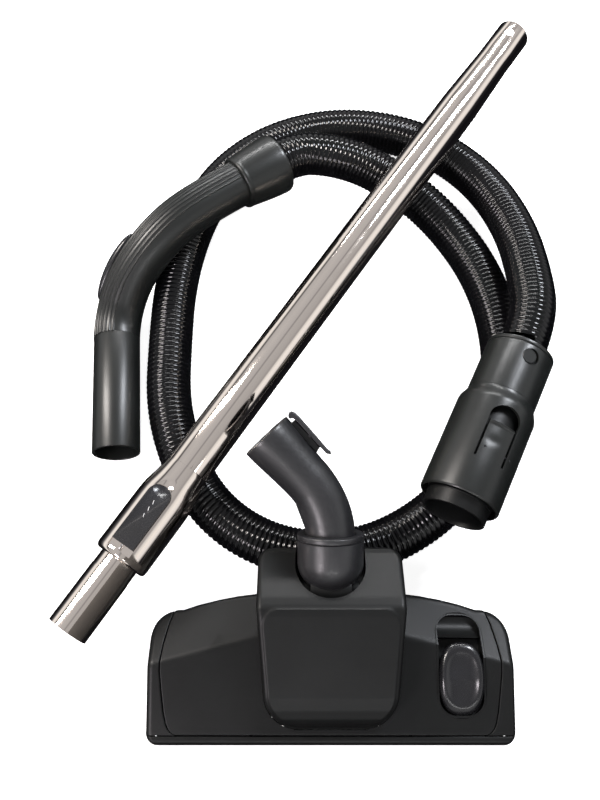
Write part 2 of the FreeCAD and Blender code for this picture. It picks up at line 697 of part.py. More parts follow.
# Lower tub: a wall all round, cross ribs that carry the duct, cradle and wheel axles.
SOLE_TOP = "sole_thickness"
TUB_HIGH = "16 - sole_thickness - 0.2"
WHEEL_X = 38.0
WHEEL_Y = "wing_depth - 12.5"
tub_wall = cut(plan("0.6", "sole_thickness + 0.1", TUB_HIGH, 9), plan("3.2", "sole_thickness - 1", "20", 7))
ribs = [
    block(2.4, "wing_depth - %d" % less, 2.4, x, 2, 13.0)
    for x, less in (("-head_width / 2 + end_cap_width + 6", 18), ("-60", 4), ("57.6", 4),
                    ("head_width / 2 - end_cap_width - 8.4", 18))
]
deck = cut(block(116, 16, 2.2, -58, "wing_depth - 40", 13.6),
           block("duct_width + 1", 8, 4, "-duct_width / 2 - 0.5", "wing_depth - 41", 13))
axle_ears = []
for side in (-1, 1):
    for step in (-1, 1):
        middle = side * WHEEL_X + step * 8.4
        axle_ears.append(block(2.6, 16.4, 11.6, middle - 1.3, "wing_depth - 18.5", 4))
deck_tie = block(116, 4.5, 11.6, -58, "wing_depth - 26", "sole_thickness + 0.1")
axle_holes = rod("axle_dia / 2 + run_gap", 120, x=-60, y=WHEEL_Y, z="wheel_dia / 2", along="x")
tub = cut(fuse(tub_wall, deck, deck_tie, *(ribs + axle_ears)), axle_holes)
piece("base_housing", tub, AT_HEAD)

for side, name in ((-1, "rear_wheel_left"), (1, "rear_wheel_right")):
    wheel = cut(rod("wheel_dia / 2", "wheel_width", x="%d * %s - wheel_width / 2" % (side, WHEEL_X),
                    y=WHEEL_Y, z="wheel_dia / 2", along="x"),
                rod("axle_dia / 2 + run_gap", 30, x=side * WHEEL_X - 15, y=WHEEL_Y, z="wheel_dia / 2",
                    along="x"))
    piece(name, wheel, AT_HEAD)
piece("wheel_axles", group(*[rod("axle_dia / 2", 19.4, x=side * WHEEL_X - 9.7, y=WHEEL_Y, z="wheel_dia / 2",
                                 along="x") for side in (-1, 1)]), AT_HEAD)

# Sole plate with the suction mouth, two brush slots and pockets for the lint strips.
SLOT_LONG = "head_width - 38"
SOLE_BACK = "wing_depth - 24"
sole = plan("3.5", 0, "sole_thickness", 8)
sole = common(sole, block("head_width", "wing_depth - 24", 10, "-head_width / 2", 0, -1))
mouth = block("head_width - 70", 15, 10, "-head_width / 2 + 35", 36, -1)
slots = [block(SLOT_LONG, 6.6, 10, "-(%s) / 2" % SLOT_LONG, y, -1) for y in (12.7, 69.7)]
lint_seats = [block("head_width - 80", 7.4, 1.2, "-head_width / 2 + 40", y, -0.2) for y in (25.8, 53.8)]
screw_spots = [(-112, 60), (112, 60), (-112, 30)]
screw_holes = [rod(2.1, 8, x=x, y=y, z=-1) for x, y in screw_spots]
piece("sole_plate", cut(sole, mouth, *(slots + lint_seats + screw_holes)), AT_HEAD)
piece("lint_strips", group(*[block("head_width - 80.4", 7.0, 0.98, "-head_width / 2 + 40.2", y, 0.0)
                             for y in (26.0, 54.0)]), AT_HEAD)
piece("sole_screws",
      group(*[fuse(rod(2.0, 9, x=x, y=y, z=0.4), rod(3.4, 1.4, x=x, y=y, z="sole_thickness + 0.2"))
                             for x, y in screw_spots]), AT_HEAD)

front_bumper = cut(plan("-0.6", 5, "9.5", 9), plan("0.5", 4, "12", 9),
                   block("head_width + 10", "wing_depth", 30, "-head_width / 2 - 5", 16, 0))
piece("front_bumper", front_bumper, AT_HEAD)

# Centre cover: one moulding from the front slope to the hood behind, notched for the neck.
cover_profile = [
    (11, 17), (11, 38), (17, 45), ("crease_y", "block_height"),
    ("crease_y + 9", "block_height - 1.5"), ("block_depth - 6", "hood_bottom + 14"),
    ("block_depth", "hood_bottom + 8"), ("block_depth", "hood_bottom"),
    ("wing_depth + 1.5", "hood_bottom"), ("wing_depth + 1.5", 17),
]
cover_room = [
    ("11 + head_wall", 10), ("11 + head_wall", 36.6), ("18 + head_wall", 43),
    ("crease_y", "block_height - head_wall"), ("crease_y + 8", "block_height - head_wall - 1.5"),
    ("block_depth - 6 - head_wall", "hood_bottom + 13 - head_wall"),
    ("block_depth - head_wall", "hood_bottom + 6"), ("block_depth - head_wall", "hood_bottom - 5"),
    ("wing_depth + 1.5 - head_wall", "hood_bottom - 5"), ("wing_depth + 1.5 - head_wall", 10),
]
cover_out = common(outline_pad("YZ_Plane", cover_profile, "-block_width / 2 - 2", "block_width + 4"),
                   block_plan("0", 10, "block_height", 13))
cover_in = common(outline_pad("YZ_Plane", cover_room, "-block_width / 2 - 2", "block_width + 4"),
                  block_plan("-head_wall", 5, "block_height", 11))
notch_mid = "pivot_y + 17.5"
neck_notch = fuse(rod("neck_dia / 2 + 1.6", 60, y=notch_mid, z=20),
                  block("neck_dia + 3.2", 60, 60, "-neck_dia / 2 - 1.6", notch_mid, 20))
piece("centre_cover", cut(cover_out, cover_in, neck_notch), AT_HEAD)

# Air duct from the sole's mouth up to the neck's barrel.
duct_out = outline_pad("YZ_Plane", [
    (33, "sole_thickness + 0.2"), (33, 24), (72, 40), ("pivot_y - 14.8", "pivot_z - 4.9"),
    ("pivot_y - 10.5", "pivot_z - 11.7"), (72, 13.2), (55, "sole_thickness + 0.2"),
], "-duct_width / 2", "duct_width")
duct_in = outline_pad("YZ_Plane", [
    (35, 0), (35, 22.4), (72.5, 37.6), ("pivot_y - 15", "pivot_z - 7.4"), ("pivot_y - 5", "pivot_z - 8"),
    ("pivot_y - 11.5", "pivot_z - 12"), (70.5, 14.6), (53, 0),
], "-duct_width / 2 + 2", "duct_width - 4")
piece("air_duct", cut(duct_out, duct_in), AT_HEAD)

# The cradle's two ears hold the barrel's trunnions inside the centre cover.
ears = []
for x in ("barrel_length / 2 + 0.6", "-barrel_length / 2 - 5.6"):
    ears.append(block(5, 8.8, "pivot_z - 16", x, "pivot_y - 8", 16))
    ears.append(rod("trunnion_dia / 2 + 3", 5, x=x, y="pivot_y", z="pivot_z", along="x"))
bridge = block("barrel_length + 11.2", 16, 2, "-barrel_length / 2 - 5.6", "pivot_y - 8", 16)
bridge_room = block("barrel_length + 20", 20, 4, "-barrel_length / 2 - 10", "wing_depth - 1.1", 15)
cradle_bore = rod("trunnion_dia / 2 + run_gap", 80, x=-40, y="pivot_y", z="pivot_z", along="x")
piece("neck_cradle", cut(fuse(bridge, *ears), bridge_room, cradle_bore), AT_HEAD)

# Pedal, its well, and the brush carriage that it pushes down.
well_out = common(wing_loft("0", "0.2", SPLIT + 1),
                  pedal_plan("0", SPLIT + 1, "60", PEDAL_FRONT, PEDAL_BACK, 14))
well_in = pedal_plan("-1.6", SPLIT + 2.6, "60", PEDAL_FRONT, PEDAL_BACK, 12)
PEDAL_PIVOT_Y = 46.0
PEDAL_PIVOT_Z = 22.0
pedal_bore = rod(1.55, 60, x="%s - 30" % PEDAL_X, y=PEDAL_PIVOT_Y, z=PEDAL_PIVOT_Z, along="x")
piece("pedal_well", cut(well_out, well_in, pedal_bore), AT_HEAD)
piece("pedal_pin", rod(1.5, "pedal_width - 0.6", x="%s - pedal_width / 2 + 0.3" % PEDAL_X, y=PEDAL_PIVOT_Y,
                       z=PEDAL_PIVOT_Z, along="x"), AT_HEAD)
pedal_side = [
    (22, 23.5), (22, 27.5), (44, 36.5), (PEDAL_PIVOT_Y + 24, 38.5), (PEDAL_PIVOT_Y + 24, 27),
    (50, 20.2), (42, 20.2),
]
pedal_slab = outline_pad("YZ_Plane", pedal_side, "%s - pedal_width / 2" % PEDAL_X, "pedal_width")
pedal_body = common(pedal_slab, pedal_plan("-2.1", 19, "40", 20, PEDAL_PIVOT_Y + 24, 14))
dish = DOC.addObject("Part::Sphere", "dish")
bind(dish, "Radius", 60)
base_at(dish, PEDAL_X, 40, 93)
pedal_hole = rod(1.56, 60, x="%s - 30" % PEDAL_X, y=PEDAL_PIVOT_Y, z=PEDAL_PIVOT_Z, along="x")
piece("pedal", cut(pedal_body, dish, pedal_hole), AT_HEAD)

CARRIAGE_Z = 8.0
bars = [block("%s - 1" % SLOT_LONG, 5.6, 3, "-(%s) / 2 + 0.5" % SLOT_LONG, y, CARRIAGE_Z)
        for y in (13.2, 70.2)]
links = [block(5, 62.6, 2.4, x, 13.2, CARRIAGE_Z + 3) for x in (-50, 45)]
piece("brush_carriage", fuse(*(bars + links)), AT_HEAD)
for y, name in ((13.8, "front_brush"), (70.8, "rear_brush")):
    piece(name, block("%s - 4" % SLOT_LONG, 4.4, CARRIAGE_Z - 1.3, "-(%s) / 2 + 2" % SLOT_LONG, y, 1.2),
          AT_HEAD)

# ---------------------------------------------------------------- neck and elbow

LEAN = math.radians(size("neck_lean"))
NECK_HEADING = V(0, math.cos(LEAN), math.sin(LEAN))
PIVOT = HEAD_FRONT + V(0, size("pivot_y"), size("pivot_z"))
AT_NECK = facing(PIVOT, NECK_HEADING)

drum = fuse(
    rod("barrel_dia / 2", "barrel_length", x="-barrel_length / 2", along="x"),
    rod("trunnion_dia / 2", "barrel_length + 11", x="-barrel_length / 2 - 5.5", along="x"),
    rod("throat_dia / 2", "neck_start + 11"),
    rod("neck_dia / 2 - 7.5", 8, z="neck_start + 2.4"),
)
drum_room = fuse(
    rod("barrel_dia / 2 - 2.2", "barrel_length - 5", x="-barrel_length / 2 + 2.5", along="x"),
    rod("throat_dia / 2 - 2", 60),
    block("barrel_length - 7", 21, 19, "-barrel_length / 2 + 3.5", -10.5, -21),
)
piece("neck_barrel", cut(drum, drum_room), AT_NECK)
cuff_shell = fuse(
    ring("neck_dia / 2", "neck_dia / 2 - 2.4", "neck_reach - neck_start - 4.4", z="neck_start"),
    ring("neck_dia / 2 - 1", "neck_dia / 2 - 7.4", 2.4, z="neck_start"),
)
piece("neck_cuff", cuff_shell, AT_NECK)
piece("neck_ring", ring("neck_dia / 2 + 0.3", "elbow_dia / 2 + slide_gap", 4.2, z="neck_reach - 4.2"),
      AT_NECK)

ELBOW_FOOT = size("neck_reach") - 9
turn = math.radians(size("elbow_turn"))
bend_start = V(0, 0, size("neck_reach") + 2)
elbow_r = size("elbow_radius")
bend_end = bend_start + V(elbow_r * (1 - math.cos(turn)), 0, elbow_r * math.sin(turn))
bend_middle = bend_start + V(elbow_r * (1 - math.cos(turn / 2)), 0, elbow_r * math.sin(turn / 2))
mouth_heading = V(math.sin(turn), 0, math.cos(turn))
elbow_mouth = bend_end + mouth_heading * size("elbow_straight")
elbow_line = Part.Wire([
    Part.LineSegment(V(0, 0, ELBOW_FOOT), bend_start).toShape(),
    Part.Arc(bend_start, bend_middle, bend_end).toShape(),
    Part.LineSegment(bend_end, elbow_mouth).toShape(),
])
socket_depth = 42.0
socket_r = size("elbow_socket_dia") / 2
socket_start = elbow_mouth - mouth_heading * (socket_depth + 4)
elbow = swept(elbow_line, size("elbow_dia") / 2)
elbow = elbow.fuse(Part.makeCylinder(socket_r, socket_depth, elbow_mouth - mouth_heading * socket_depth,
                                     mouth_heading))
elbow = elbow.fuse(Part.makeCone(size("elbow_dia") / 2 + 0.3, socket_r, 12,
                                 elbow_mouth - mouth_heading * (socket_depth + 12), mouth_heading))
elbow = elbow.fuse(Part.makeCylinder(size("neck_dia") / 2 - 2.8, 3, V(0, 0, ELBOW_FOOT)))
elbow = elbow.cut(swept(elbow_line, size("elbow_dia") / 2 - 4))
bore_r = size("elbow_socket_bore") / 2
elbow = elbow.cut(Part.makeCylinder(bore_r, socket_depth,
                                    elbow_mouth - mouth_heading * (socket_depth - 1), mouth_heading))
# The clip stands on the outer side of the bend; its own frame has Z back from the mouth, Y outward.
clip_side = V(-math.cos(turn), 0, math.sin(turn))
AT_CLIP = facing(elbow_mouth, mouth_heading * -1, clip_side)
CLIP_PIVOT_Z = 22.0
CLIP_PIVOT_Y = socket_r + 3.2


def clip_box(width, low, high, start, end, x=None):
    left = -width / 2 if x is None else x
    box = Part.makeBox(width, high - low, end - start, V(left, low, start))
    box.Placement = AT_CLIP.multiply(box.Placement)
    return box


def clip_rod(radius, width):
    bar = Part.makeCylinder(radius, width, V(-width / 2, CLIP_PIVOT_Y, CLIP_PIVOT_Z), V(1, 0, 0))
    bar.Placement = AT_CLIP.multiply(bar.Placement)
    return bar


nose_hole = Part.makeCylinder(4.4, 12, V(0, bore_r - 4, size("snap_hole_inset")), V(0, 1, 0))
nose_hole.Placement = AT_CLIP.multiply(nose_hole.Placement)
for side in (-1, 1):
    elbow = elbow.fuse(clip_box(1.8, socket_r - 2.5, CLIP_PIVOT_Y + 2.2, CLIP_PIVOT_Z - 3, CLIP_PIVOT_Z + 3,
                                x=side * 6.3 - 0.9))
elbow = elbow.cut(nose_hole).cut(clip_rod(1.05, 20))
piece("elbow", plain(elbow.removeSplitter()), AT_NECK)
piece("clip_pin", plain(clip_rod(1.0, 14.2)), AT_NECK)

lever = clip_box(10.0, CLIP_PIVOT_Y + 0.2, CLIP_PIVOT_Y + 2.4, 4, 38)
lever = lever.fuse(clip_box(10.0, CLIP_PIVOT_Y - 1.9, CLIP_PIVOT_Y + 2.4, CLIP_PIVOT_Z - 2.4,
                            CLIP_PIVOT_Z + 2.4))
lever = lever.fuse(clip_box(10.0, CLIP_PIVOT_Y + 0.2, CLIP_PIVOT_Y + 3.8, 36, 38))
nose = Part.makeCylinder(3.4, CLIP_PIVOT_Y + 1 - bore_r - 1.2,
                         V(0, bore_r + 1.2, size("snap_hole_inset") - 0.6), V(0, 1, 0))
nose = nose.common(Part.makeBox(10, 30, 6.5, V(-5, 0, size("snap_hole_inset") - 5)))
nose.Placement = AT_CLIP.multiply(nose.Placement)
lever = lever.fuse(nose).cut(clip_rod(1.06, 20))
piece("elbow_clip", plain(lever.removeSplitter()), AT_NECK)


# ---------------------------------------------------------------- springs

def coil(radius, wire, pitch, height):
    # a compression spring standing along Z, its wire ends inside height
    helix = Part.makeHelix(pitch, height - wire, radius)
    start = helix.Edges[0].valueAt(helix.Edges[0].FirstParameter)
    heading = helix.Edges[0].tangentAt(helix.Edges[0].FirstParameter)
    rim = Part.Wire([Part.Circle(start, heading, wire / 2).toShape()])
    spring = Part.Wire(helix.Edges).makePipeShell([rim], True, True)
    spring.translate(V(0, 0, wire / 2))
    return spring


AT_CLIP_SPRING = AT_NECK.multiply(AT_CLIP).multiply(
    FreeCAD.Placement(V(0, socket_r + 0.1, 31), FreeCAD.Rotation(V(1, 0, 0), -90)))
piece("clip_spring", plain(coil(2.6, 0.5, 0.9, CLIP_PIVOT_Y + 0.1 - socket_r - 0.1)), AT_CLIP_SPRING)

AT_BUTTON_SPRING = AT_TUBE.multiply(FreeCAD.Placement(
    V(0, size("adjuster_dia") / 2 - 1.6, size("sleeve_start") + size("sleeve_flare") - 6
      + size("button_length") + 0.1), FreeCAD.Rotation()))
piece("button_spring", plain(coil(0.8, 0.3, 0.9, size("button_travel"))), AT_BUTTON_SPRING)

AT_PEDAL_SPRING = AT_HEAD.multiply(FreeCAD.Placement(
    V(size("head_width") / 4 + 28.5, PEDAL_PIVOT_Y + 18, SPLIT + 2.7), FreeCAD.Rotation()))
piece("pedal_spring", plain(coil(2.6, 0.5, 0.9, 4.8)), AT_PEDAL_SPRING)

# ---------------------------------------------------------------- output

DOC.recompute()
faults = []
for obj in DOC.Objects:
    if "Invalid" in obj.State or "Error" in obj.State:
        faults.append("%s %s" % (obj.Name, obj.State))
for obj in PIECES:
    if obj.Shape.isNull() or not obj.Shape.isValid() or not obj.Shape.Solids:
        faults.append("%s has no valid solid" % obj.Label)
labels = [obj.Label for obj in PIECES]
if len(set(labels)) != len(labels):
    faults.append("two sub-parts share a name")
if faults:
    raise SystemExit("not written: " + "; ".join(faults))
os.makedirs("parts", exist_ok=True)
for obj in PIECES:
    obj.Shape.exportStep("parts/%s.step" % obj.Label)
print("%d sub-parts written" % len(PIECES))
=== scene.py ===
import json
import math

import bmesh
import bpy
from mathutils import Matrix, Vector


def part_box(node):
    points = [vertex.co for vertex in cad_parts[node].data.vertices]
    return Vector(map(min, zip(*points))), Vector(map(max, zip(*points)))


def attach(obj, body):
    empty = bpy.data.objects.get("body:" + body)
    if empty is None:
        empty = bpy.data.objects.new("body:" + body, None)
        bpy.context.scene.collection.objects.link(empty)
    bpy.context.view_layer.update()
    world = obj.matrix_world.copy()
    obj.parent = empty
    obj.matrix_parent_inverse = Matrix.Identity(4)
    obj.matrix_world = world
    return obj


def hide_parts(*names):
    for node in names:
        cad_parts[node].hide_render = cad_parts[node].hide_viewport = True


# The working end of a canister vacuum cleaner, laid out on a floor: the corrugated suction hose
# with its grip handle and machine connector, the chromed telescopic tube, and the floor head with
# its swivelling elbow. Metres, floor at Z = 0.

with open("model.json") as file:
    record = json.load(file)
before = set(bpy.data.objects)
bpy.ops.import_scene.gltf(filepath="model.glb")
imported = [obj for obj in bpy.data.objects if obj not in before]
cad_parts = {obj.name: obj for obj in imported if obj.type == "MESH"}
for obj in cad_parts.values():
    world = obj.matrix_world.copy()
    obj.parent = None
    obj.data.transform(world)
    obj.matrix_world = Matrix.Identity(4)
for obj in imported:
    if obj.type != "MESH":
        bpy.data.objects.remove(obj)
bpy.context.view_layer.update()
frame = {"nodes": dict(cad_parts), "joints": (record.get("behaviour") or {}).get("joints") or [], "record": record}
nodes = frame["nodes"]
joints = {joint["name"]: joint for joint in frame["joints"]}
mounts = {mount["name"]: mount for mount in frame["record"]["mounts"]}
body_of_node = {n: b for b, names in frame["record"]["behaviour"]["bodies"].items() for n in names}
scene = bpy.context.scene

# ------------------------------------------------------------------ camera
# A normal lens held above the front edge of the set, tipped 22 degrees from straight down, so
# that the floor head lies nearest and the far end of the hose at the top.

camera = bpy.data.objects.new("camera", bpy.data.cameras.new("camera"))
camera.location = (-0.0166, -0.312, 0.6822)
camera.rotation_euler = (math.radians(22), 0, 0)
camera.data.lens = 37.8
camera.data.sensor_width = 36
scene.collection.objects.link(camera)
scene.camera = camera
scene.view_settings.view_transform = "Standard"

# ------------------------------------------------------------------ studio floor
# A light table: opal acrylic, cast and satin finished, lit evenly from below, so that the ground
# is white and nearly shadowless. It is kept out of the mirror finishes, as black card would do.


def linear(code):
    """The linear colour of an sRGB hex value such as "3a3b3c"."""
    channels = [int(code[i:i + 2], 16) / 255 for i in (0, 2, 4)]
    return tuple(c / 12.92 if c <= 0.04045 else ((c + 0.055) / 1.055) ** 2.4 for c in channels) + (1.0,)


def add_node(owner, kind, settings, links=()):
    """Adds a node: settings are its properties or unlinked sockets, links are (socket, source)."""
    node = owner.node_tree.nodes.new("ShaderNode" + kind)
    for name, value in settings.items():
        if isinstance(name, int) or name in node.inputs:
            node.inputs[name].default_value = value
        else:
            setattr(node, name, value)
    for name, source in links:
        owner.node_tree.links.new(source, node.inputs[name])
    return node


def finish_named(name):
    """An empty material with an output, and that output."""
    material = bpy.data.materials.new(name)
    material.use_nodes = True
    material.node_tree.nodes.clear()
    return material, add_node(material, "OutputMaterial", {})


# Opal acrylic, cast: an even milky white that glows from inside, with no pattern that shows.
opal_acrylic, opal_out = finish_named("opal_acrylic_cast")
opal = add_node(opal_acrylic, "BsdfPrincipled",
                {"Base Color": linear("f6f6f6"), "Roughness": 0.6, "Specular IOR Level": 0.1,
                 "Emission Color": linear("ffffff"), "Emission Strength": 0.93})
opal_acrylic.node_tree.links.new(opal.outputs[0], opal_out.inputs["Surface"])

floor_mesh = bpy.data.meshes.new("table_top")
floor_mesh.from_pydata([(-4, -4, -0.0004), (4, -4, -0.0004), (4, 4, -0.0004), (-4, 4, -0.0004)],
                       [], [(0, 1, 2, 3)])
table_top = bpy.data.objects.new("table_top", floor_mesh)
scene.collection.objects.link(table_top)
table_top.data.materials.append(opal_acrylic)
table_top.visible_glossy = False

# ------------------------------------------------------------------ studio light
# Two large soft boxes and a long strip lamp. The room around them is drawn as bands that run
# along the chrome tube, neutral grey and white overhead with dark gaps between, since a mirror finish
# shows nothing but its room. The room's warmth is painted reflection, put into the chrome's own colour.

TUBE_HEADING = Vector(joints["telescope"]["axis"])


def lamp(name, place, target, width, height, watts, colour):
    """A rectangular soft box that looks at a point."""
    light = bpy.data.lights.new(name, "AREA")
    light.shape = "RECTANGLE"
    light.size, light.size_y = width, height
    light.energy = watts
    light.color = linear(colour)[:3]
    box = bpy.data.objects.new(name, light)
    box.location = place
    box.rotation_euler = (Vector(target) - Vector(place)).to_track_quat("-Z", "Y").to_euler()
    scene.collection.objects.link(box)
    return box


lamp("soft_box_left", (-1.1, 0.35, 1.2), (0, 0, 0), 0.22, 0.7, 26, "fff8f2")
lamp("soft_box_right", (0.95, 0.7, 1.3), (0, 0, 0), 0.22, 0.6, 26, "f4f8ff")
lamp("strip_back", (0.0, 1.5, 1.1), (0, 0.1, 0), 1.2, 0.12, 20, "ffffff")
lamp("soft_box_front", (-0.9, -1.0, 0.9), (0, -0.2, 0), 0.35, 0.35, 12, "fff6fb")
lamp("strip_front", (0.1, -1.6, 1.1), (0, -0.2, 0), 1.2, 0.15, 5, "ffffff")

room = bpy.data.worlds.new("room")
room.use_nodes = True
room.node_tree.nodes.clear()
scene.world = room
room.cycles_visibility.diffuse = False
side_way = Vector((0, 0, 1)).cross(TUBE_HEADING).normalized()
top_way = TUBE_HEADING.cross(side_way).normalized()
direction = add_node(room, "TexCoord", {})
across = add_node(room, "VectorMath", {"operation": "DOT_PRODUCT", 1: tuple(side_way)},
                  [(0, direction.outputs["Generated"])])
upward = add_node(room, "VectorMath", {"operation": "DOT_PRODUCT", 1: tuple(top_way)},
                  [(0, direction.outputs["Generated"])])
angle = add_node(room, "Math", {"operation": "ARCTAN2"},
                 [(0, across.outputs["Value"]), (1, upward.outputs["Value"])])
turn_share = add_node(room, "MapRange", {"From Min": -math.pi, "From Max": math.pi},
                      [("Value", angle.outputs[0])])
bands = add_node(room, "ValToRGB", {}, [("Fac", turn_share.outputs[0])])
# degrees round the tube from straight up, and the room's colour there
ROOM_BANDS = [(-180, "1c1c1f"), (-112, "141416"), (-96, "5a5b60"), (-84, "ffffff"), (-70, "f6f6f6"),
              (-62, "2a2a2e"), (-52, "bdbdc0"), (-30, "c4c4c6"), (-4, "bcbcbf"), (2, "8f8f92"),
              (8, "bababc"), (34, "b4b4b6"), (46, "a2a2a5"), (52, "e8e8e8"), (62, "ffffff"),
              (76, "f2f2f4"), (84, "26262a"), (110, "121216"), (180, "1c1c1f")]
bands.color_ramp.elements[0].position = 0
bands.color_ramp.elements[0].color = linear(ROOM_BANDS[0][1])
bands.color_ramp.elements[1].position = 1
bands.color_ramp.elements[1].color = linear(ROOM_BANDS[-1][1])
for degrees, code in ROOM_BANDS[1:-1]:
    stop = bands.color_ramp.elements.new((degrees + 180) / 360)
    stop.color = linear(code)
air = add_node(room, "Background", {"Strength": 1.0}, [("Color", bands.outputs["Color"])])
room_out = add_node(room, "OutputWorld", {}, [("Surface", air.outputs[0])])

# ------------------------------------------------------------------ suction hose
# An EVA hose, wound from an extruded strip over a mandrel and welded along its turns, so its
# rounded ribs run as one long helix. It springs from the handle's collar, lies on the floor in
# one and a half loose turns, and comes back up to the machine connector.

HOSE_ROUTE = [
    (-0.037, 0.168, 0.062), (-0.019, 0.181, 0.0602), (0.013, 0.1825, 0.0545),
    (0.041, 0.18, 0.045), (0.068, 0.17, 0.035), (0.095, 0.153, 0.027), (0.12, 0.127, 0.021),
    (0.142, 0.091, 0.0191), (0.156, 0.049, 0.0191), (0.161, 0.003, 0.0191),
    (0.156, -0.044, 0.0191), (0.14, -0.086, 0.0191), (0.113, -0.123, 0.0191),
    (0.079, -0.153, 0.0191), (0.037, -0.173, 0.0191), (-0.009, -0.177, 0.0191),
    (-0.052, -0.166, 0.0191), (-0.089, -0.139, 0.0191), (-0.114, -0.098, 0.0191),
    (-0.129, -0.048, 0.0191), (-0.13, 0.008, 0.0191), (-0.129, 0.066, 0.0191),
    (-0.117, 0.128, 0.0191), (-0.092, 0.184, 0.0191), (-0.047, 0.224, 0.0191),
    (0.01, 0.243, 0.0191), (0.068, 0.239, 0.0191), (0.118, 0.215, 0.021), (0.156, 0.17, 0.029),
    (0.176, 0.112, 0.042), (0.18, 0.054, 0.056), (0.1755, 0.0075, 0.07), (0.1605, -0.024, 0.07),
]
HOSE_RADIUS = 0.019
RIB_PITCH = 0.0043
RIB_DEPTH = 0.0018


def smooth_line(name, spots):
    """Points along the NURBS spline that has these control points."""
    curve = bpy.data.curves.new(name, "CURVE")
    curve.dimensions = "3D"
    spline = curve.splines.new("NURBS")
    spline.points.add(len(spots) - 1)
    for point, spot in zip(spline.points, spots):
        point.co = (*spot, 1)
    spline.order_u = 3
    spline.use_endpoint_u = True
    spline.resolution_u = 24
    line = bpy.data.objects.new(name, curve)
    scene.collection.objects.link(line)
    bpy.context.view_layer.update()
    mesh = bpy.data.meshes.new_from_object(line)
    points = [v.co.copy() for v in mesh.vertices]
    bpy.data.objects.remove(line)
    bpy.data.meshes.remove(mesh)
    return points


class Sweep:
    """A centre line with a frame carried along it without twist, read at any distance along it."""

    def __init__(self, points, side):
        self.points = points
        self.reach = [0.0]
        for a, b in zip(points, points[1:]):
            self.reach.append(self.reach[-1] + (b - a).length)
        self.length = self.reach[-1]
        self.sides = []
        for i in range(len(points)):
            ahead = points[min(i + 1, len(points) - 1)] - points[max(i - 1, 0)]
            ahead.normalize()
            side = (side - ahead * side.dot(ahead)).normalized()
            self.sides.append((side.copy(), ahead))
        self.at = 0

    def frame_at(self, distance):
        """Centre, side and up directions at a distance; distances are asked for in rising order."""
        distance = min(max(distance, 0.0), self.length)
        if distance < self.reach[self.at]:
            self.at = 0
        while self.at < len(self.points) - 2 and self.reach[self.at + 1] < distance:
            self.at += 1
        i = self.at
        share = (distance - self.reach[i]) / (self.reach[i + 1] - self.reach[i])
        centre = self.points[i].lerp(self.points[i + 1], share)
        side = self.sides[i][0].lerp(self.sides[i + 1][0], share)
        ahead = self.sides[i][1].lerp(self.sides[i + 1][1], share).normalized()
        side = (side - ahead * side.dot(ahead)).normalized()
        return centre, side, ahead.cross(side)


def new_piece(name, points, faces):
    """A mesh object, smooth shaded, with its normals pointing out."""
    mesh = bpy.data.meshes.new(name)
    mesh.from_pydata([tuple(p) for p in points], [], faces)
    shape = bmesh.new()
    shape.from_mesh(mesh)
    bmesh.ops.recalc_face_normals(shape, faces=shape.faces)
    shape.to_mesh(mesh)
    shape.free()
    mesh.shade_smooth()
    obj = bpy.data.objects.new(name, mesh)
    scene.collection.objects.link(obj)
    return obj


def shell(name, spot, across, along):
    """A closed skin: spot(u, v, side) is a point for u and v from 0 to 1, side 1 outside, 0 inside."""
    wide = across + 1
    layer = wide * (along + 1)
    points = [spot(i / across, j / along, side)
              for side in (1, 0) for j in range(along + 1) for i in range(wide)]
    faces = []
    for j in range(along):
        for i in range(across):
            a = j * wide + i
            faces.append((a, a + 1, a + 1 + wide, a + wide))
            faces.append((layer + a + wide, layer + a + 1 + wide, layer + a + 1, layer + a))
    rim = list(range(wide)) + [j * wide + across for j in range(1, along + 1)]
    rim += [along * wide + i for i in range(across - 1, -1, -1)] + [j * wide for j in range(along - 1, 0, -1)]
    for a, b in zip(rim, rim[1:] + rim[:1]):
        faces.append((a, b, b + layer, a + layer))
    obj = new_piece(name, points, faces)
    obj.data.set_sharp_from_angle(angle=math.radians(38))
    return obj


def swept(name, sweep, stops, around=72):
    """A hollow tube along a sweep; stops are (distance, radius), out along it and back inside."""
    points, faces = [], []
    for distance, radius in stops:
        centre, side, up = sweep.frame_at(distance)
        for j in range(around):
            turn = 2 * math.pi * j / around
            points.append(centre + (side * math.cos(turn) + up * math.sin(turn)) * radius)
    for k in range(len(stops)):
        after = (k + 1) % len(stops)
        for j in range(around):
            beside = (j + 1) % around
            faces.append((k * around + j, k * around + beside, after * around + beside, after * around + j))
    obj = new_piece(name, points, faces)
    obj.data.set_sharp_from_angle(angle=math.radians(40))
    return obj


def between(table, at):
    """Reads a table of (place, value) pairs, smoothly between its rows."""
    if at <= table[0][0]:
        return table[0][1]
    for (a, low), (b, high) in zip(table, table[1:]):
        if at <= b:
            share = (at - a) / (b - a)
            return low + (high - low) * share
    return table[-1][1]


def fit(obj, material, *stands_for):
    """Gives a piece its finish and lets it ride with, and stand for, those CAD nodes."""
    obj.data.materials.clear()
    obj.data.materials.append(material)
    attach(obj, body_of_node[stands_for[0]])
    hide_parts(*stands_for)
    return obj


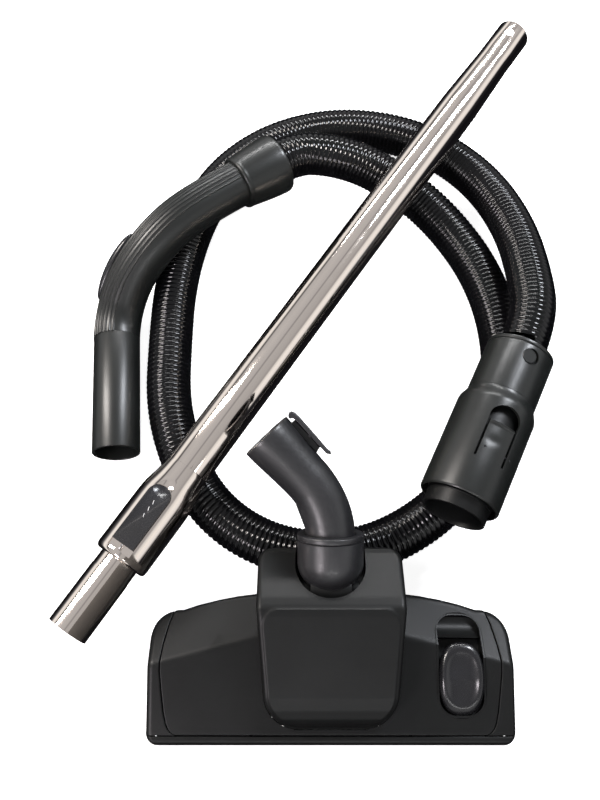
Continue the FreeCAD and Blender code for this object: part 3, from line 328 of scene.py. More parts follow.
# EVA (ethylene-vinyl acetate), hot extruded: a wet black gloss that throws one small hard
# highlight off every rib, broken a little by handling marks 15 mm long.
eva_black, eva_out = finish_named("eva_extruded_gloss_black")
eva_place = add_node(eva_black, "TexCoord", {})
eva_marks = add_node(eva_black, "TexNoise", {"Scale": 1 / 0.015, "Detail": 3.0},
                     [("Vector", eva_place.outputs["Object"])])
eva_tint = add_node(eva_black, "ValToRGB", {}, [("Fac", eva_marks.outputs["Fac"])])
eva_tint.color_ramp.elements[0].color = linear("070708")
eva_tint.color_ramp.elements[1].color = linear("0e0e10")
eva_gloss = add_node(eva_black, "MapRange", {"From Min": 0.3, "From Max": 0.7, "To Min": 0.06, "To Max": 0.13},
                     [("Value", eva_marks.outputs["Fac"])])
eva = add_node(eva_black, "BsdfPrincipled", {"IOR": 1.49, "Specular IOR Level": 0.36},
               [("Base Color", eva_tint.outputs["Color"]), ("Roughness", eva_gloss.outputs[0])])
eva_black.node_tree.links.new(eva.outputs[0], eva_out.inputs["Surface"])

hose_line = smooth_line("hose_line", HOSE_ROUTE)
hose_sweep = Sweep(hose_line, Vector((0, 0, 1)))
STEPS = 10
AROUND = 28
turns = int(hose_sweep.length / RIB_PITCH) - 1
hose_points = []
for k in range(turns * STEPS + 1):
    ring = []
    for j in range(AROUND):
        share = k / STEPS + j / AROUND
        centre, side, up = hose_sweep.frame_at(share * RIB_PITCH)
        groove = 1 - math.sqrt(max(0.0, 1 - (2 * (share % 1.0) - 1) ** 2))
        radius = HOSE_RADIUS - RIB_DEPTH * groove
        turn = 2 * math.pi * j / AROUND
        ring.append(centre + (side * math.cos(turn) + up * math.sin(turn)) * radius)
    hose_points += ring
hose_faces = []
for k in range(turns * STEPS):
    for j in range(AROUND - 1):
        a = k * AROUND + j
        hose_faces.append((a, a + 1, a + AROUND + 1, a + AROUND))
    a = k * AROUND + AROUND - 1
    b = (k + STEPS) * AROUND
    if (k + STEPS + 1) * AROUND < len(hose_points):
        hose_faces.append((a, b, b + AROUND, a + AROUND))
hose = fit(new_piece("corrugated_hose", hose_points, hose_faces), eva_black, "hose")

# ------------------------------------------------------------------ hose ferrules
# The rings clenched on the two ends of the hose, moulded in the same black EVA. They turn inside
# the collar and the cuff, and only their edges show.


def moulded_copy(node, width, segments=3, sharp=28):
    """A copy of a CAD node with its edges rounded to that width, as a mould leaves them."""
    mesh = nodes[node].data.copy()
    mesh.name = node + "_moulding"
    shape = bmesh.new()
    shape.from_mesh(mesh)
    bmesh.ops.remove_doubles(shape, verts=shape.verts, dist=1e-5)
    bmesh.ops.dissolve_limit(shape, angle_limit=math.radians(0.6), verts=shape.verts, edges=shape.edges)
    shape.to_mesh(mesh)
    shape.free()
    obj = bpy.data.objects.new(node + "_moulding", mesh)
    scene.collection.objects.link(obj)
    if width:
        edge = obj.modifiers.new("rounded_edges", "BEVEL")
        edge.width = width
        edge.segments = segments
        edge.limit_method = "ANGLE"
        edge.angle_limit = math.radians(sharp)
        edge.use_clamp_overlap = True
        bpy.context.view_layer.update()
        rounded = bpy.data.meshes.new_from_object(obj.evaluated_get(bpy.context.evaluated_depsgraph_get()))
        obj.modifiers.clear()
        obj.data = rounded
    obj.data.shade_smooth()
    obj.data.set_sharp_from_angle(angle=math.radians(32))
    return obj


def dress(material, *names):
    """Gives CAD nodes a finish as they are."""
    for name in names:
        nodes[name].data.materials.clear()
        nodes[name].data.materials.append(material)


dress(eva_black, "hand_ferrule", "machine_ferrule")

# ------------------------------------------------------------------ grip handle
# The handle is an ABS tube bent in its mould, with a separate thin cover over the grip whose
# fine ribs run along the outside of the bend. The straight tip has the tapered socket for the
# tube, and the collar at the other end holds the swivelling hose end.


def moulded_abs(name, dark, light, roughness, grain, depth, shine=0.5):
    """Injection-moulded ABS: a base colour that drifts slightly, and a fine spark-eroded grain."""
    material, output = finish_named(name)
    place = add_node(material, "TexCoord", {})
    drift = add_node(material, "TexNoise", {"Scale": 1 / 0.04, "Detail": 2.0},
                     [("Vector", place.outputs["Object"])])
    tint = add_node(material, "ValToRGB", {}, [("Fac", drift.outputs["Fac"])])
    tint.color_ramp.elements[0].position = 0.3
    tint.color_ramp.elements[0].color = linear(dark)
    tint.color_ramp.elements[1].position = 0.7
    tint.color_ramp.elements[1].color = linear(light)
    spark = add_node(material, "TexNoise", {"Scale": 1 / grain, "Detail": 2.0},
                     [("Vector", place.outputs["Object"])])
    worn = add_node(material, "MapRange", {"From Min": 0.3, "From Max": 0.7,
                                           "To Min": roughness - 0.05, "To Max": roughness + 0.06},
                    [("Value", spark.outputs["Fac"])])
    relief = add_node(material, "Bump", {"Strength": 0.35, "Distance": depth},
                      [("Height", spark.outputs["Fac"])])
    shader = add_node(material, "BsdfPrincipled", {"IOR": 1.53, "Specular IOR Level": shine},
                      [("Base Color", tint.outputs["Color"]), ("Roughness", worn.outputs[0]),
                       ("Normal", relief.outputs[0])])
    material.node_tree.links.new(shader.outputs[0], output.inputs["Surface"])
    return material


# Satin ABS with a 0.8 mm spark grain, drawn a little coarser than it is: dark grey with a broad
# soft highlight down the length of every tube.
abs_satin_grey = moulded_abs("abs_moulded_satin_grey", "121413", "1a1c1b", 0.33, 0.0008, 0.00004, 0.42)

GRIP_ROUTE = [
    (-0.1767, 0.0118, 0.0205), (-0.178, 0.0315, 0.0206), (-0.165, 0.0628, 0.042),
    (-0.1394, 0.0902, 0.061), (-0.109, 0.116, 0.0692), (-0.0705, 0.1438, 0.0653),
]
GRIP_RADIUS = 0.02
GRIP_RIBS = 7
grip_sweep = Sweep(smooth_line("grip_line", GRIP_ROUTE), Vector((-1, 0, 0)))
grip_length = grip_sweep.length
GRIP_STEPS = 90
GRIP_AROUND = 360
grip_points = []
for k in range(GRIP_STEPS + 1):
    centre, side, up = grip_sweep.frame_at(grip_length * k / GRIP_STEPS)
    for j in range(GRIP_AROUND):
        turn = 360 * j / GRIP_AROUND
        # seven fine ridges, 9.5 degrees apart, from the outer side over to the top
        share = (turn - 30) / 9.5
        rib = 0.0008 * math.sin(math.pi * share) ** 12 if 0 <= share <= GRIP_RIBS else 0.0
        radius = GRIP_RADIUS - 0.0001 + rib
        way = side * math.cos(math.radians(turn)) + up * math.sin(math.radians(turn))
        grip_points.append(centre + way * radius)
grip_faces = []
for k in range(GRIP_STEPS):
    for j in range(GRIP_AROUND):
        a = k * GRIP_AROUND + j
        b = k * GRIP_AROUND + (j + 1) % GRIP_AROUND
        grip_faces.append((a, b, b + GRIP_AROUND, a + GRIP_AROUND))
fit(new_piece("ribbed_grip_cover", grip_points, grip_faces), abs_satin_grey, "grip_cover")
grip_rings = [grip_length * k / 40 for k in range(41)]
fit(swept("grip_tube", grip_sweep, [(d, 0.0191) for d in grip_rings] + [(d, 0.0155) for d in reversed(grip_rings)]),
    abs_satin_grey, "grip_body")
fit(moulded_copy("handle_tip", 0.0006), abs_satin_grey, "handle_tip")


def facing(origin, heading, up=Vector((0, 0, 1))):
    """A frame whose Z runs along heading and whose Y is as near to up as it can be."""
    z = Vector(heading).normalized()
    x = up.cross(z).normalized()
    place = Matrix((x, z.cross(x), z)).transposed().to_4x4()
    place.translation = origin
    return place


def turned(name, profile, place, around=96, close=True):
    """A round piece from (distance along Z, radius) pairs of its section, one after another."""
    points, faces = [], []
    count = len(profile)
    for k in range(around):
        turn = 2 * math.pi * k / around
        for z, r in profile:
            points.append(place @ Vector((r * math.cos(turn), r * math.sin(turn), z)))
        for i in range(count if close else count - 1):
            a, b = k * count + i, k * count + (i + 1) % count
            c, d = ((k + 1) % around) * count + (i + 1) % count, ((k + 1) % around) * count + i
            faces.append((a, b, c, d))
    obj = new_piece(name, points, faces)
    obj.data.set_sharp_from_angle(angle=math.radians(40))
    return obj


COLLAR_END = Vector(HOSE_ROUTE[0])
AT_COLLAR = facing(COLLAR_END, Vector((-0.109, 0.116, 0.0692)) - COLLAR_END)
collar_section = [
    (0.0, 0.0254), (0.0005, 0.0261), (0.0016, 0.0265), (0.0035, 0.0266), (0.012, 0.0262), (0.022, 0.0252),
    (0.031, 0.0241), (0.0375, 0.0232), (0.0388, 0.0230), (0.0398, 0.0232), (0.0412, 0.0231),
    (0.0423, 0.0226), (0.0429, 0.0217), (0.043, 0.0205), (0.0427, 0.0193), (0.0281, 0.0193),
    (0.028, 0.0229), (0.0, 0.0229),
]
fit(turned("collar_skin", collar_section, AT_COLLAR), abs_satin_grey, "hand_collar")

# Acetal, injection moulded and left natural: waxy off-white, with a soft low gloss.
acetal_natural, acetal_out = finish_named("acetal_moulded_natural")
acetal_place = add_node(acetal_natural, "TexCoord", {})
acetal_cloud = add_node(acetal_natural, "TexNoise", {"Scale": 1 / 0.006, "Detail": 3.0},
                        [("Vector", acetal_place.outputs["Object"])])
acetal_tint = add_node(acetal_natural, "ValToRGB", {}, [("Fac", acetal_cloud.outputs["Fac"])])
acetal_tint.color_ramp.elements[0].color = linear("cfccc4")
acetal_tint.color_ramp.elements[1].color = linear("e4e1da")
acetal = add_node(acetal_natural, "BsdfPrincipled", {"Roughness": 0.42, "IOR": 1.48},
                  [("Base Color", acetal_tint.outputs["Color"])])
acetal_natural.node_tree.links.new(acetal.outputs[0], acetal_out.inputs["Surface"])
dress(acetal_natural, "swivel_bush", "guide_bush", "stop_ring")

# ------------------------------------------------------------------ bleed slider
# A thumb slider on the outside of the bend opens the air bleed. It is moulded in a smoother,
# darker ABS than the grip, and snaps onto a boss of the grip tube.

# Polished ABS, charcoal: nearly smooth, so it takes a clear bright streak.
abs_polished_charcoal = moulded_abs("abs_moulded_polished_charcoal", "121214", "1a1a1d", 0.24, 0.0005, 0.00001)
bleed_low, bleed_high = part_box("bleed_slider")
bleed_spot = (Vector(bleed_low) + Vector(bleed_high)) / 2
nearest = min((((grip_sweep.frame_at(grip_length * k / 90)[0] - bleed_spot).length, grip_length * k / 90)
               for k in range(91)))[1]
bleed_centre, bleed_side, bleed_up = grip_sweep.frame_at(nearest)
bleed_turn = math.atan2((bleed_spot - bleed_centre).dot(bleed_up), (bleed_spot - bleed_centre).dot(bleed_side))


def bleed_surface(u, v, side):
    """A lens that hugs the bend, 5 mm proud in the middle."""
    lens = math.sqrt(max(0.0, 1 - (2 * v - 1) ** 2))
    turn = bleed_turn + (2 * u - 1) * (0.1 + 0.36 * lens)
    crown = max(0.0, 1 - (2 * u - 1) ** 2) ** 0.6 * lens ** 0.9
    centre, across, up = grip_sweep.frame_at(nearest - 0.003 + (v - 0.5) * 0.056)
    radius = 0.0201 + side * (0.0009 + 0.0038 * crown)
    return centre + (across * math.cos(turn) + up * math.sin(turn)) * radius


fit(shell("bleed_slider_skin", bleed_surface, 24, 40), abs_polished_charcoal, "bleed_slider")

# ------------------------------------------------------------------ machine connector
# Two ABS mouldings screwed together: the cuff that turns on the hose end, with its round clip
# window, and the wider sleeve with the spring latch. The black spigot that goes into the
# machine stands out of the sleeve's mouth.

AT_CONNECTOR = facing(HOSE_ROUTE[-1], Vector((-0.4299, -0.9029, 0)))
SLEEVE = 0.0309
CUFF = 0.0273


def carve(obj, cutter):
    """Takes the cutter's shape out of obj, and removes the cutter."""
    cut = obj.modifiers.new("cut", "BOOLEAN")
    cut.operation = "DIFFERENCE"
    cut.solver = "EXACT"
    cut.object = cutter
    bpy.context.view_layer.update()
    carved = bpy.data.meshes.new_from_object(obj.evaluated_get(bpy.context.evaluated_depsgraph_get()))
    obj.modifiers.clear()
    obj.data = carved
    bpy.data.objects.remove(cutter)
    obj.data.set_sharp_from_angle(angle=math.radians(40))


def round_cutter(name, profile, place, around=48):
    """A solid turned from an open profile that starts and ends on the axis."""
    cutter = turned(name, profile, place, around=around, close=False)
    shape = bmesh.new()
    shape.from_mesh(cutter.data)
    bmesh.ops.remove_doubles(shape, verts=shape.verts, dist=1e-6)
    bmesh.ops.recalc_face_normals(shape, faces=shape.faces)
    shape.to_mesh(cutter.data)
    shape.free()
    return cutter


def drilled(obj, place, radius, depth):
    """Cuts a round hole into obj from place along its Z."""
    carve(obj, round_cutter("drill", [(-depth / 2, 0.0), (-depth / 2, radius), (depth / 2, radius),
                                      (depth / 2, 0.0)], place))


def arched_bar(name, place, start, length, width, low, high, steps=20, rise=1.0):
    """A bar along Z with an arched end, between two heights above the axis."""
    half = width / 2
    outline = []
    for i in range(steps + 1):
        turn = math.pi * i / steps
        outline.append((half * math.cos(turn), start + half * rise * (1 - math.sin(turn))))
    outline += [(-half, start + length), (half, start + length)]
    count = len(outline)
    points = [place @ Vector((x, y, z)) for y in (low, high) for x, z in outline]
    faces = [tuple(range(count)), tuple(range(2 * count - 1, count - 1, -1))]
    for i in range(count):
        faces.append((i, (i + 1) % count, (i + 1) % count + count, i + count))
    obj = new_piece(name, points, faces)
    obj.data.set_sharp_from_angle(angle=math.radians(40))
    return obj


cuff_section = [(0.0031, 0.0266), (0.0036, 0.0271), (0.0044, CUFF), (0.0459, CUFF), (0.0459, 0.0247), (0.0031, 0.0247)]
cuff = turned("cuff_skin", cuff_section, AT_CONNECTOR)
AT_RIVET = (AT_CONNECTOR @ Matrix.Rotation(math.radians(-15), 4, "Z")
            @ Matrix.Translation((0, CUFF, 0.0135)) @ Matrix.Rotation(math.radians(-90), 4, "X"))
drilled(cuff, AT_RIVET, 0.0068, 0.01)
fit(cuff, abs_satin_grey, "connector_cuff")
fit(moulded_copy("cuff_ring", 0.0006), abs_satin_grey, "cuff_ring")
rivet_place = AT_RIVET @ Matrix.Translation((-0.0006, 0.0006, -0.0004)) @ Matrix.Rotation(math.radians(5), 4, "Y")
rivet_section = [(-0.005, 0.0), (-0.005, 0.0059), (-0.0012, 0.0059), (-0.0008, 0.0055), (-0.0008, 0.0)]
fit(turned("rivet_skin", rivet_section, rivet_place, close=False), abs_satin_grey, "cuff_rivet")

sleeve_flare = [(0.0462 + 0.012 * k / 12, CUFF + 0.0001 + (SLEEVE - CUFF) * (0.5 - 0.5 * math.cos(math.pi * k / 12)))
                for k in range(13)]
sleeve_profile = sleeve_flare + [
    (0.1340, SLEEVE), (0.1352, 0.0306), (0.1360, 0.0299), (0.1360, 0.0290), (0.1352, 0.0284),
    (0.0600, 0.0281), (0.0465, 0.0250),
]
sleeve = turned("sleeve_skin", sleeve_profile, AT_CONNECTOR, around=144)
AT_LATCH = AT_CONNECTOR @ Matrix.Rotation(math.radians(-14), 4, "Z")
WINDOW_START = 0.0615
WINDOW_LENGTH = 0.046
carve(sleeve, arched_bar("window_cutter", AT_LATCH, WINDOW_START, WINDOW_LENGTH, 0.0245, 0.02, 0.034, rise=0.8))
fit(sleeve, abs_satin_grey, "connector_sleeve")


def tab_surface(u, v, side):
    """The latch's tab: a strip of the sleeve with a ridge at its free end and a dimple."""
    x = (2 * u - 1) * 0.0104
    z = WINDOW_START + 0.0150 + v * 0.0309
    ridge = 0.0009 * math.exp(-((v - 0.05) / 0.03) ** 2)
    dimple = 0.0006 * math.exp(-((2 * u - 0.8) / 0.6) ** 2 - ((v - 0.5) / 0.12) ** 2)
    radius = SLEEVE - 0.0003 + ridge - dimple if side else SLEEVE - 0.0028
    return AT_LATCH @ Vector((x, math.sqrt(radius ** 2 - x ** 2), z))


fit(shell("latch_tab_skin", tab_surface, 30, 60), abs_satin_grey, "latch_tab")

# ABS with a 1 mm eroded texture: matt near-black, greyer where the light grazes it.
abs_textured_black = moulded_abs("abs_moulded_textured_black", "0a0b0b", "0f1010", 0.42, 0.001, 0.00003, 0.22)
machine_stub = fit(moulded_copy("machine_stub", 0.0008), abs_textured_black, "machine_stub")

# Nitrile rubber, compression moulded: dead black with a faint bloom.
rubber_black, rubber_out = finish_named("nitrile_rubber_moulded")
rubber_place = add_node(rubber_black, "TexCoord", {})
rubber_bloom = add_node(rubber_black, "TexNoise", {"Scale": 1 / 0.003, "Detail": 4.0},
                        [("Vector", rubber_place.outputs["Object"])])
rubber_tint = add_node(rubber_black, "ValToRGB", {}, [("Fac", rubber_bloom.outputs["Fac"])])
rubber_tint.color_ramp.elements[0].color = linear("151515")
rubber_tint.color_ramp.elements[1].color = linear("232323")
rubber = add_node(rubber_black, "BsdfPrincipled", {"Roughness": 0.72, "IOR": 1.52},
                  [("Base Color", rubber_tint.outputs["Color"])])
rubber_black.node_tree.links.new(rubber.outputs[0], rubber_out.inputs["Surface"])
dress(rubber_black, "stub_seal")

# Spring steel and pins, cold drawn: bright, with fine lines along the wire drawn 0.3 mm apart.
drawn_steel, drawn_out = finish_named("steel_cold_drawn")
drawn_place = add_node(drawn_steel, "TexCoord", {})
drawn_lines = add_node(drawn_steel, "TexNoise", {"Scale": 1 / 0.0003, "Detail": 2.0},
                       [("Vector", drawn_place.outputs["Object"])])
drawn_gloss = add_node(drawn_steel, "MapRange", {"To Min": 0.2, "To Max": 0.38},
                       [("Value", drawn_lines.outputs["Fac"])])
drawn = add_node(drawn_steel, "BsdfPrincipled", {"Base Color": linear("b9b9bb"), "Metallic": 1.0},
                 [("Roughness", drawn_gloss.outputs[0])])
drawn_steel.node_tree.links.new(drawn.outputs[0], drawn_out.inputs["Surface"])

# Steel pins, blackened: hot oxide black with a dull grey shine on the ends.
black_steel, black_out = finish_named("steel_oxide_blackened")
black_place = add_node(black_steel, "TexCoord", {})
black_mix = add_node(black_steel, "TexNoise", {"Scale": 1 / 0.001}, [("Vector", black_place.outputs["Object"])])
black_gloss = add_node(black_steel, "MapRange", {"To Min": 0.4, "To Max": 0.6}, [("Value", black_mix.outputs["Fac"])])
black_metal = add_node(black_steel, "BsdfPrincipled", {"Base Color": linear("2b2b2d"), "Metallic": 0.6},
                       [("Roughness", black_gloss.outputs[0])])
black_steel.node_tree.links.new(black_metal.outputs[0], black_out.inputs["Surface"])
dress(black_steel, "latch_pin", "clip_pin")
dress(drawn_steel, "pedal_pin", "wheel_axles", "lock_pin", "button_spring",
      "pedal_spring", "clip_spring", "sole_screws")

# ------------------------------------------------------------------ telescopic tube
# Two steel tubes, one inside the other, rolled from strip, welded and chrome plated. The outer
# one is drawn down at its top end to fit the handle, with a round hole there for a spring catch.

# Chrome plate over polished steel: a mirror, only softened by wiping marks about 20 mm long.
chrome_plate, chrome_out = finish_named("chrome_plated_steel")
chrome_place = add_node(chrome_plate, "TexCoord", {})
chrome_wipe = add_node(chrome_plate, "TexNoise", {"Scale": 1 / 0.02, "Detail": 3.0},
                       [("Vector", chrome_place.outputs["Object"])])
chrome_gloss = add_node(chrome_plate, "MapRange", {"From Min": 0.35, "From Max": 0.75,
                                                   "To Min": 0.05, "To Max": 0.11},
                        [("Value", chrome_wipe.outputs["Fac"])])
# the warm beige base colour is painted reflection: it carries the warm tint of the room the mirror shows, while the
# room's bands stay neutral
chrome = add_node(chrome_plate, "BsdfPrincipled", {"Base Color": linear("efe4da"), "Metallic": 1.0},
                  [("Roughness", chrome_gloss.outputs[0])])
chrome_plate.node_tree.links.new(chrome.outputs[0], chrome_out.inputs["Surface"])


tube_mount = mounts["tube_top"]
tube_mount_half = tube_mount["dims"]["length_mm"] / 2000
TUBE_TOP = Vector(tube_mount["pos_m"]) + Vector(tube_mount["axis"]) * tube_mount_half
AT_TUBE = facing(TUBE_TOP, TUBE_HEADING)
WALL = 0.0009
tube_section = [
    (0.0006, 0.0155 - WALL), (0.0, 0.0151), (0.0002, 0.01535), (0.0008, 0.0155), (0.03, 0.0155),
    (0.0385, 0.0155), (0.0425, 0.01558), (0.048, 0.01577), (0.09, 0.01717), (0.096, 0.01738),
    (0.101, 0.01749), (0.108, 0.0175), (0.3, 0.0175), (0.5594, 0.0175), (0.56, 0.0170),
    (0.5594, 0.0166), (0.108, 0.0166), (0.101, 0.0166), (0.04, 0.0146),
]
outer_tube = turned("outer_tube_skin", tube_section, AT_TUBE)


hole_place = AT_TUBE @ Matrix.Translation((0, 0.0155, 0.013)) @ Matrix.Rotation(math.radians(90), 4, "X")
drilled(outer_tube, hole_place, 0.0045, 0.012)
fit(outer_tube, chrome_plate, "outer_tube")
dress(chrome_plate, "inner_tube")

# ------------------------------------------------------------------ tube adjuster
# A drawn and chromed sleeve over the lower end of the outer tube carries the sliding catch. Its
# button is moulded ABS, arched at the top, with three slanting ridges whose glints are painted on as white dashes.

# A black card held beside the foot of the tube gives the mirror a dark side there.
card_mesh = bpy.data.meshes.new("black_card")
card_mesh.from_pydata([AT_TUBE @ Vector(p) for p in ((0.09, -0.03, 0.598), (0.09, -0.03, 0.72), (0.09, 0.2, 0.72), (0.09, 0.2, 0.598))],
                      [], [(0, 1, 2, 3)])
black_card = bpy.data.objects.new("black_card", card_mesh)
scene.collection.objects.link(black_card)
black_card.data.materials.append(rubber_black)
black_card.visible_camera = False
black_card.visible_diffuse = False
black_card.visible_shadow = False

SLEEVE_START = 0.514
SLEEVE_LENGTH = 0.085
SLEEVE_RADIUS = 0.0218
BUTTON_START = 0.536
BUTTON_LENGTH = 0.052
BUTTON_WIDTH = 0.019

sleeve_section = [
    (0.514, 0.01765), (0.515, 0.0178), (0.5175, 0.0180), (0.522, 0.0184), (0.528, 0.0193),
    (0.5335, 0.0204), (0.538, 0.0212), (0.543, 0.02165), (0.549, 0.0218), (0.58, 0.0218),
    (0.5945, 0.0218), (0.5966, 0.0215), (0.5980, 0.0207), (0.5987, 0.0196), (0.599, 0.0182),
    (0.5988, 0.0160), (0.58, 0.0160), (0.5625, 0.0160), (0.5625, 0.0176),
]
adjuster = turned("adjuster_sleeve_skin", sleeve_section, AT_TUBE, around=128)


slot_cutter = arched_bar("slot_cutter", AT_TUBE, BUTTON_START - 0.0004, BUTTON_LENGTH + 0.0058,
                         BUTTON_WIDTH + 0.0008, 0.0179, 0.03)
carve(adjuster, slot_cutter)
# the finger recess: a shallow bowl pressed where the slot ends, and scooped out of the button too
BOWL = 0.016
bowl_line = [(BOWL * math.cos(math.pi * k / 32), BOWL * math.sin(math.pi * k / 32)) for k in range(33)]
bowl_place = AT_TUBE @ Matrix.Translation((0, 0.0346, BUTTON_START + 0.0005))
carve(adjuster, round_cutter("bowl", bowl_line, bowl_place, around=96))
fit(adjuster, chrome_plate, "adjuster_sleeve")

# the button: a flat-topped cap, hollowed a little where the thumb goes
button = arched_bar("catch_button", AT_TUBE, BUTTON_START, BUTTON_LENGTH, BUTTON_WIDTH, 0.0184, 0.0213)
carve(button, round_cutter("bowl", bowl_line, bowl_place, around=96))
button_edge = button.modifiers.new("rounded_edges", "BEVEL")
button_edge.width = 0.0007
button_edge.segments = 3
button_edge.limit_method = "ANGLE"
button_edge.angle_limit = math.radians(50)
fit(button, abs_polished_charcoal, "slide_button")

# Painted glints: three matt white dashes about 3 mm long on low ridges of the button, standing for the highlights
# those ridges catch.
glint_white_paint, glint_out = finish_named("painted_ridge_glint_white")
glint_place = add_node(glint_white_paint, "TexCoord", {})
glint_speck = add_node(glint_white_paint, "TexNoise", {"Scale": 1 / 0.0005}, [("Vector", glint_place.outputs["Object"])])
glint_tint = add_node(glint_white_paint, "ValToRGB", {}, [("Fac", glint_speck.outputs["Fac"])])
glint_tint.color_ramp.elements[0].color = linear("c9c9c9")
glint_tint.color_ramp.elements[1].color = linear("f0f0f0")
glint_shader = add_node(glint_white_paint, "BsdfPrincipled", {"Roughness": 0.6}, [("Base Color", glint_tint.outputs["Color"])])
glint_white_paint.node_tree.links.new(glint_shader.outputs[0], glint_out.inputs["Surface"])
# three low ridges on the button, each coloured white as its painted glint
for i in range(3):
    middle = Vector((0.0, 0.02134, BUTTON_START + 0.0150 + 0.0058 * i))
    lean = Vector((-0.00057, 0, -0.00155))
    thick = Vector((0.0002, 0, -0.00007))
    corners = [middle - lean - thick, middle - lean + thick, middle + lean + thick, middle + lean - thick]
    dash_points = [AT_TUBE @ (c + Vector((0, dy, 0))) for dy in (0, -0.0002) for c in corners]
    dash = new_piece("button_ridge_glint_%d" % (i + 1), dash_points,
                     [(0, 1, 2, 3), (7, 6, 5, 4), (0, 1, 5, 4), (1, 2, 6, 5), (2, 3, 7, 6), (3, 0, 4, 7)])
    dash.data.materials.append(glint_white_paint)
    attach(dash, "button")

# ------------------------------------------------------------------ floor head
# The head is a low tub with a snap-on top: two wings in one moulding with a crease that leans
# back to the middle, two end caps, and a separate centre cover that rises over the swivel neck.

AT_HEAD = facing((0.006, -0.3155, 0), (0, 1, 0))
BACK_EDGE = [(0, 0.108), (0.054, 0.108), (0.07, 0.1062), (0.085, 0.1035), (0.1, 0.1), (0.112, 0.0962)]
SEAM = [(0.0062, 0.1120), (0.0066, 0.1150), (0.008, 0.1175), (0.0105, 0.1195), (0.014, 0.1210), (0.022, 0.1228),
        (0.035, 0.1245), (0.05, 0.1262), (0.058, 0.1262), (0.07, 0.1248), (0.085, 0.1220), (0.0955, 0.1187)]
SPLIT = 0.016


def head_point(x, y, z):
    """A point of the floor head from its own width, depth and height."""
    return Vector((0.006 + x, -0.3155 + y, z))


def drop(edge, radius):
    """How far a rounded edge of that radius has fallen, at a distance in from the edge."""
    near = min(max(edge, 0.0), radius)
    return radius - math.sqrt(radius ** 2 - (radius - near) ** 2)


def eased(share):
    """Spreads steps so that they are fine at both ends."""
    return 0.5 - 0.5 * math.cos(math.pi * share)


def back_edge(x):
    x = abs(x)
    if x <= 0.112:
        return between(BACK_EDGE, x)
    return 0.072 + 0.0242 * max(0.0, 1 - ((x - 0.112) / 0.024) ** 2.4) ** (1 / 2.4)


def side_edge(y):
    if y < 0.009:
        return 0.127 + 0.009 * math.sqrt(max(0.0, 1 - ((0.009 - y) / 0.009) ** 2))
    if y <= 0.072:
        return 0.136
    return 0.112 + 0.024 * max(0.0, 1 - ((y - 0.072) / 0.0242) ** 2.4) ** (1 / 2.4)


def wing_height(x, y):
    """The wings' top: a crease that leans back to the middle, softened over 3 mm."""
    share = min(max((abs(x) - 0.054) / 0.082, 0.0), 1.0)
    rows = [(0.0005 + 0.0025 * share, 0.022 - 0.002 * share), (0.075 - 0.021 * share, 0.038 - 0.004 * share),
            (0.108 - 0.019 * share, 0.027 - 0.005 * share)]
    return (between(rows, y - 0.0015) + 2 * between(rows, y) + between(rows, y + 0.0015)) / 4


def housing_surface(u, v, side):
    x = (2 * eased(u) - 1) * 0.12
    y = 0.0062 + eased(v) * (back_edge(x) - 0.0062)
    x = (2 * eased(u) - 1) * between(SEAM, y)
    y = 0.0062 + eased(v) * (back_edge(x) - 0.0062)
    if not side:
        return head_point(x, y, SPLIT)
    edge = min(between(SEAM, y) - abs(x), y - 0.0062)
    return head_point(x, y, wing_height(x, y) - drop(edge, 0.0008) - drop(back_edge(x) - y, 0.003))


def cap_surface(way):
    def surface(u, v, side):
        y = 0.0062 + eased(v) * 0.0889
        inner = between(SEAM, y) + 0.0005
        x = inner + eased(u) * max(side_edge(y) - inner, 0.0)
        if not side:
            return head_point(way * x, y, SPLIT)
        edge = min(side_edge(y) - x, back_edge(x) - y)
        return head_point(way * x, y, wing_height(x, y) - drop(edge, 0.0045) - drop(x - inner, 0.0008))
    return surface


def strip_surface(u, v, side):
    y = eased(v) * 0.0057
    x = (2 * eased(u) - 1) * side_edge(y)
    edge = min(y, side_edge(y) - abs(x))
    return head_point(x, y, 0.0205 - drop(edge, 0.0035) - drop(0.0057 - y, 0.0008) if side else SPLIT)


top_housing = shell("top_housing_skin", housing_surface, 150, 60)


def prism(name, outline, low, high):
    """A solid with that outline seen from above, in the head's own width and depth."""
    count = len(outline)
    points = [head_point(x, y, z) for z in (low, high) for x, y in outline]
    faces = [tuple(range(count)), tuple(range(2 * count - 1, count - 1, -1))]
    faces += [(i, (i + 1) % count, (i + 1) % count + count, i + count) for i in range(count)]
    return new_piece(name, points, faces)


COVER_FRONT = 0.0105
COVER_BACK = 0.139


def cover_half(y):
    """Half the centre cover's width, with its corners rounded 22 mm in front and 12 mm behind."""
    half = between([(0.011, 0.047), (0.089, 0.054), (0.139, 0.054)], y)
    front = min(max(COVER_FRONT + 0.022 - y, 0.0), 0.022)
    back = min(max(y - (COVER_BACK - 0.012), 0.0), 0.012)
    half -= 0.022 - math.sqrt(0.022 ** 2 - front ** 2)
    return half - 0.012 + math.sqrt(0.012 ** 2 - back ** 2)


COVER_TOP = [(0.0105, 0.0270), (0.0108, 0.0300), (0.0118, 0.0332), (0.0135, 0.0366), (0.0165, 0.0405), (0.022, 0.0448),
             (0.03, 0.0492), (0.05, 0.0573), (0.07, 0.0652), (0.085, 0.0711), (0.089, 0.0722), (0.092, 0.0721),
             (0.098, 0.0704), (0.115, 0.0633), (0.133, 0.0553), (0.137, 0.0528), (0.139, 0.0475)]


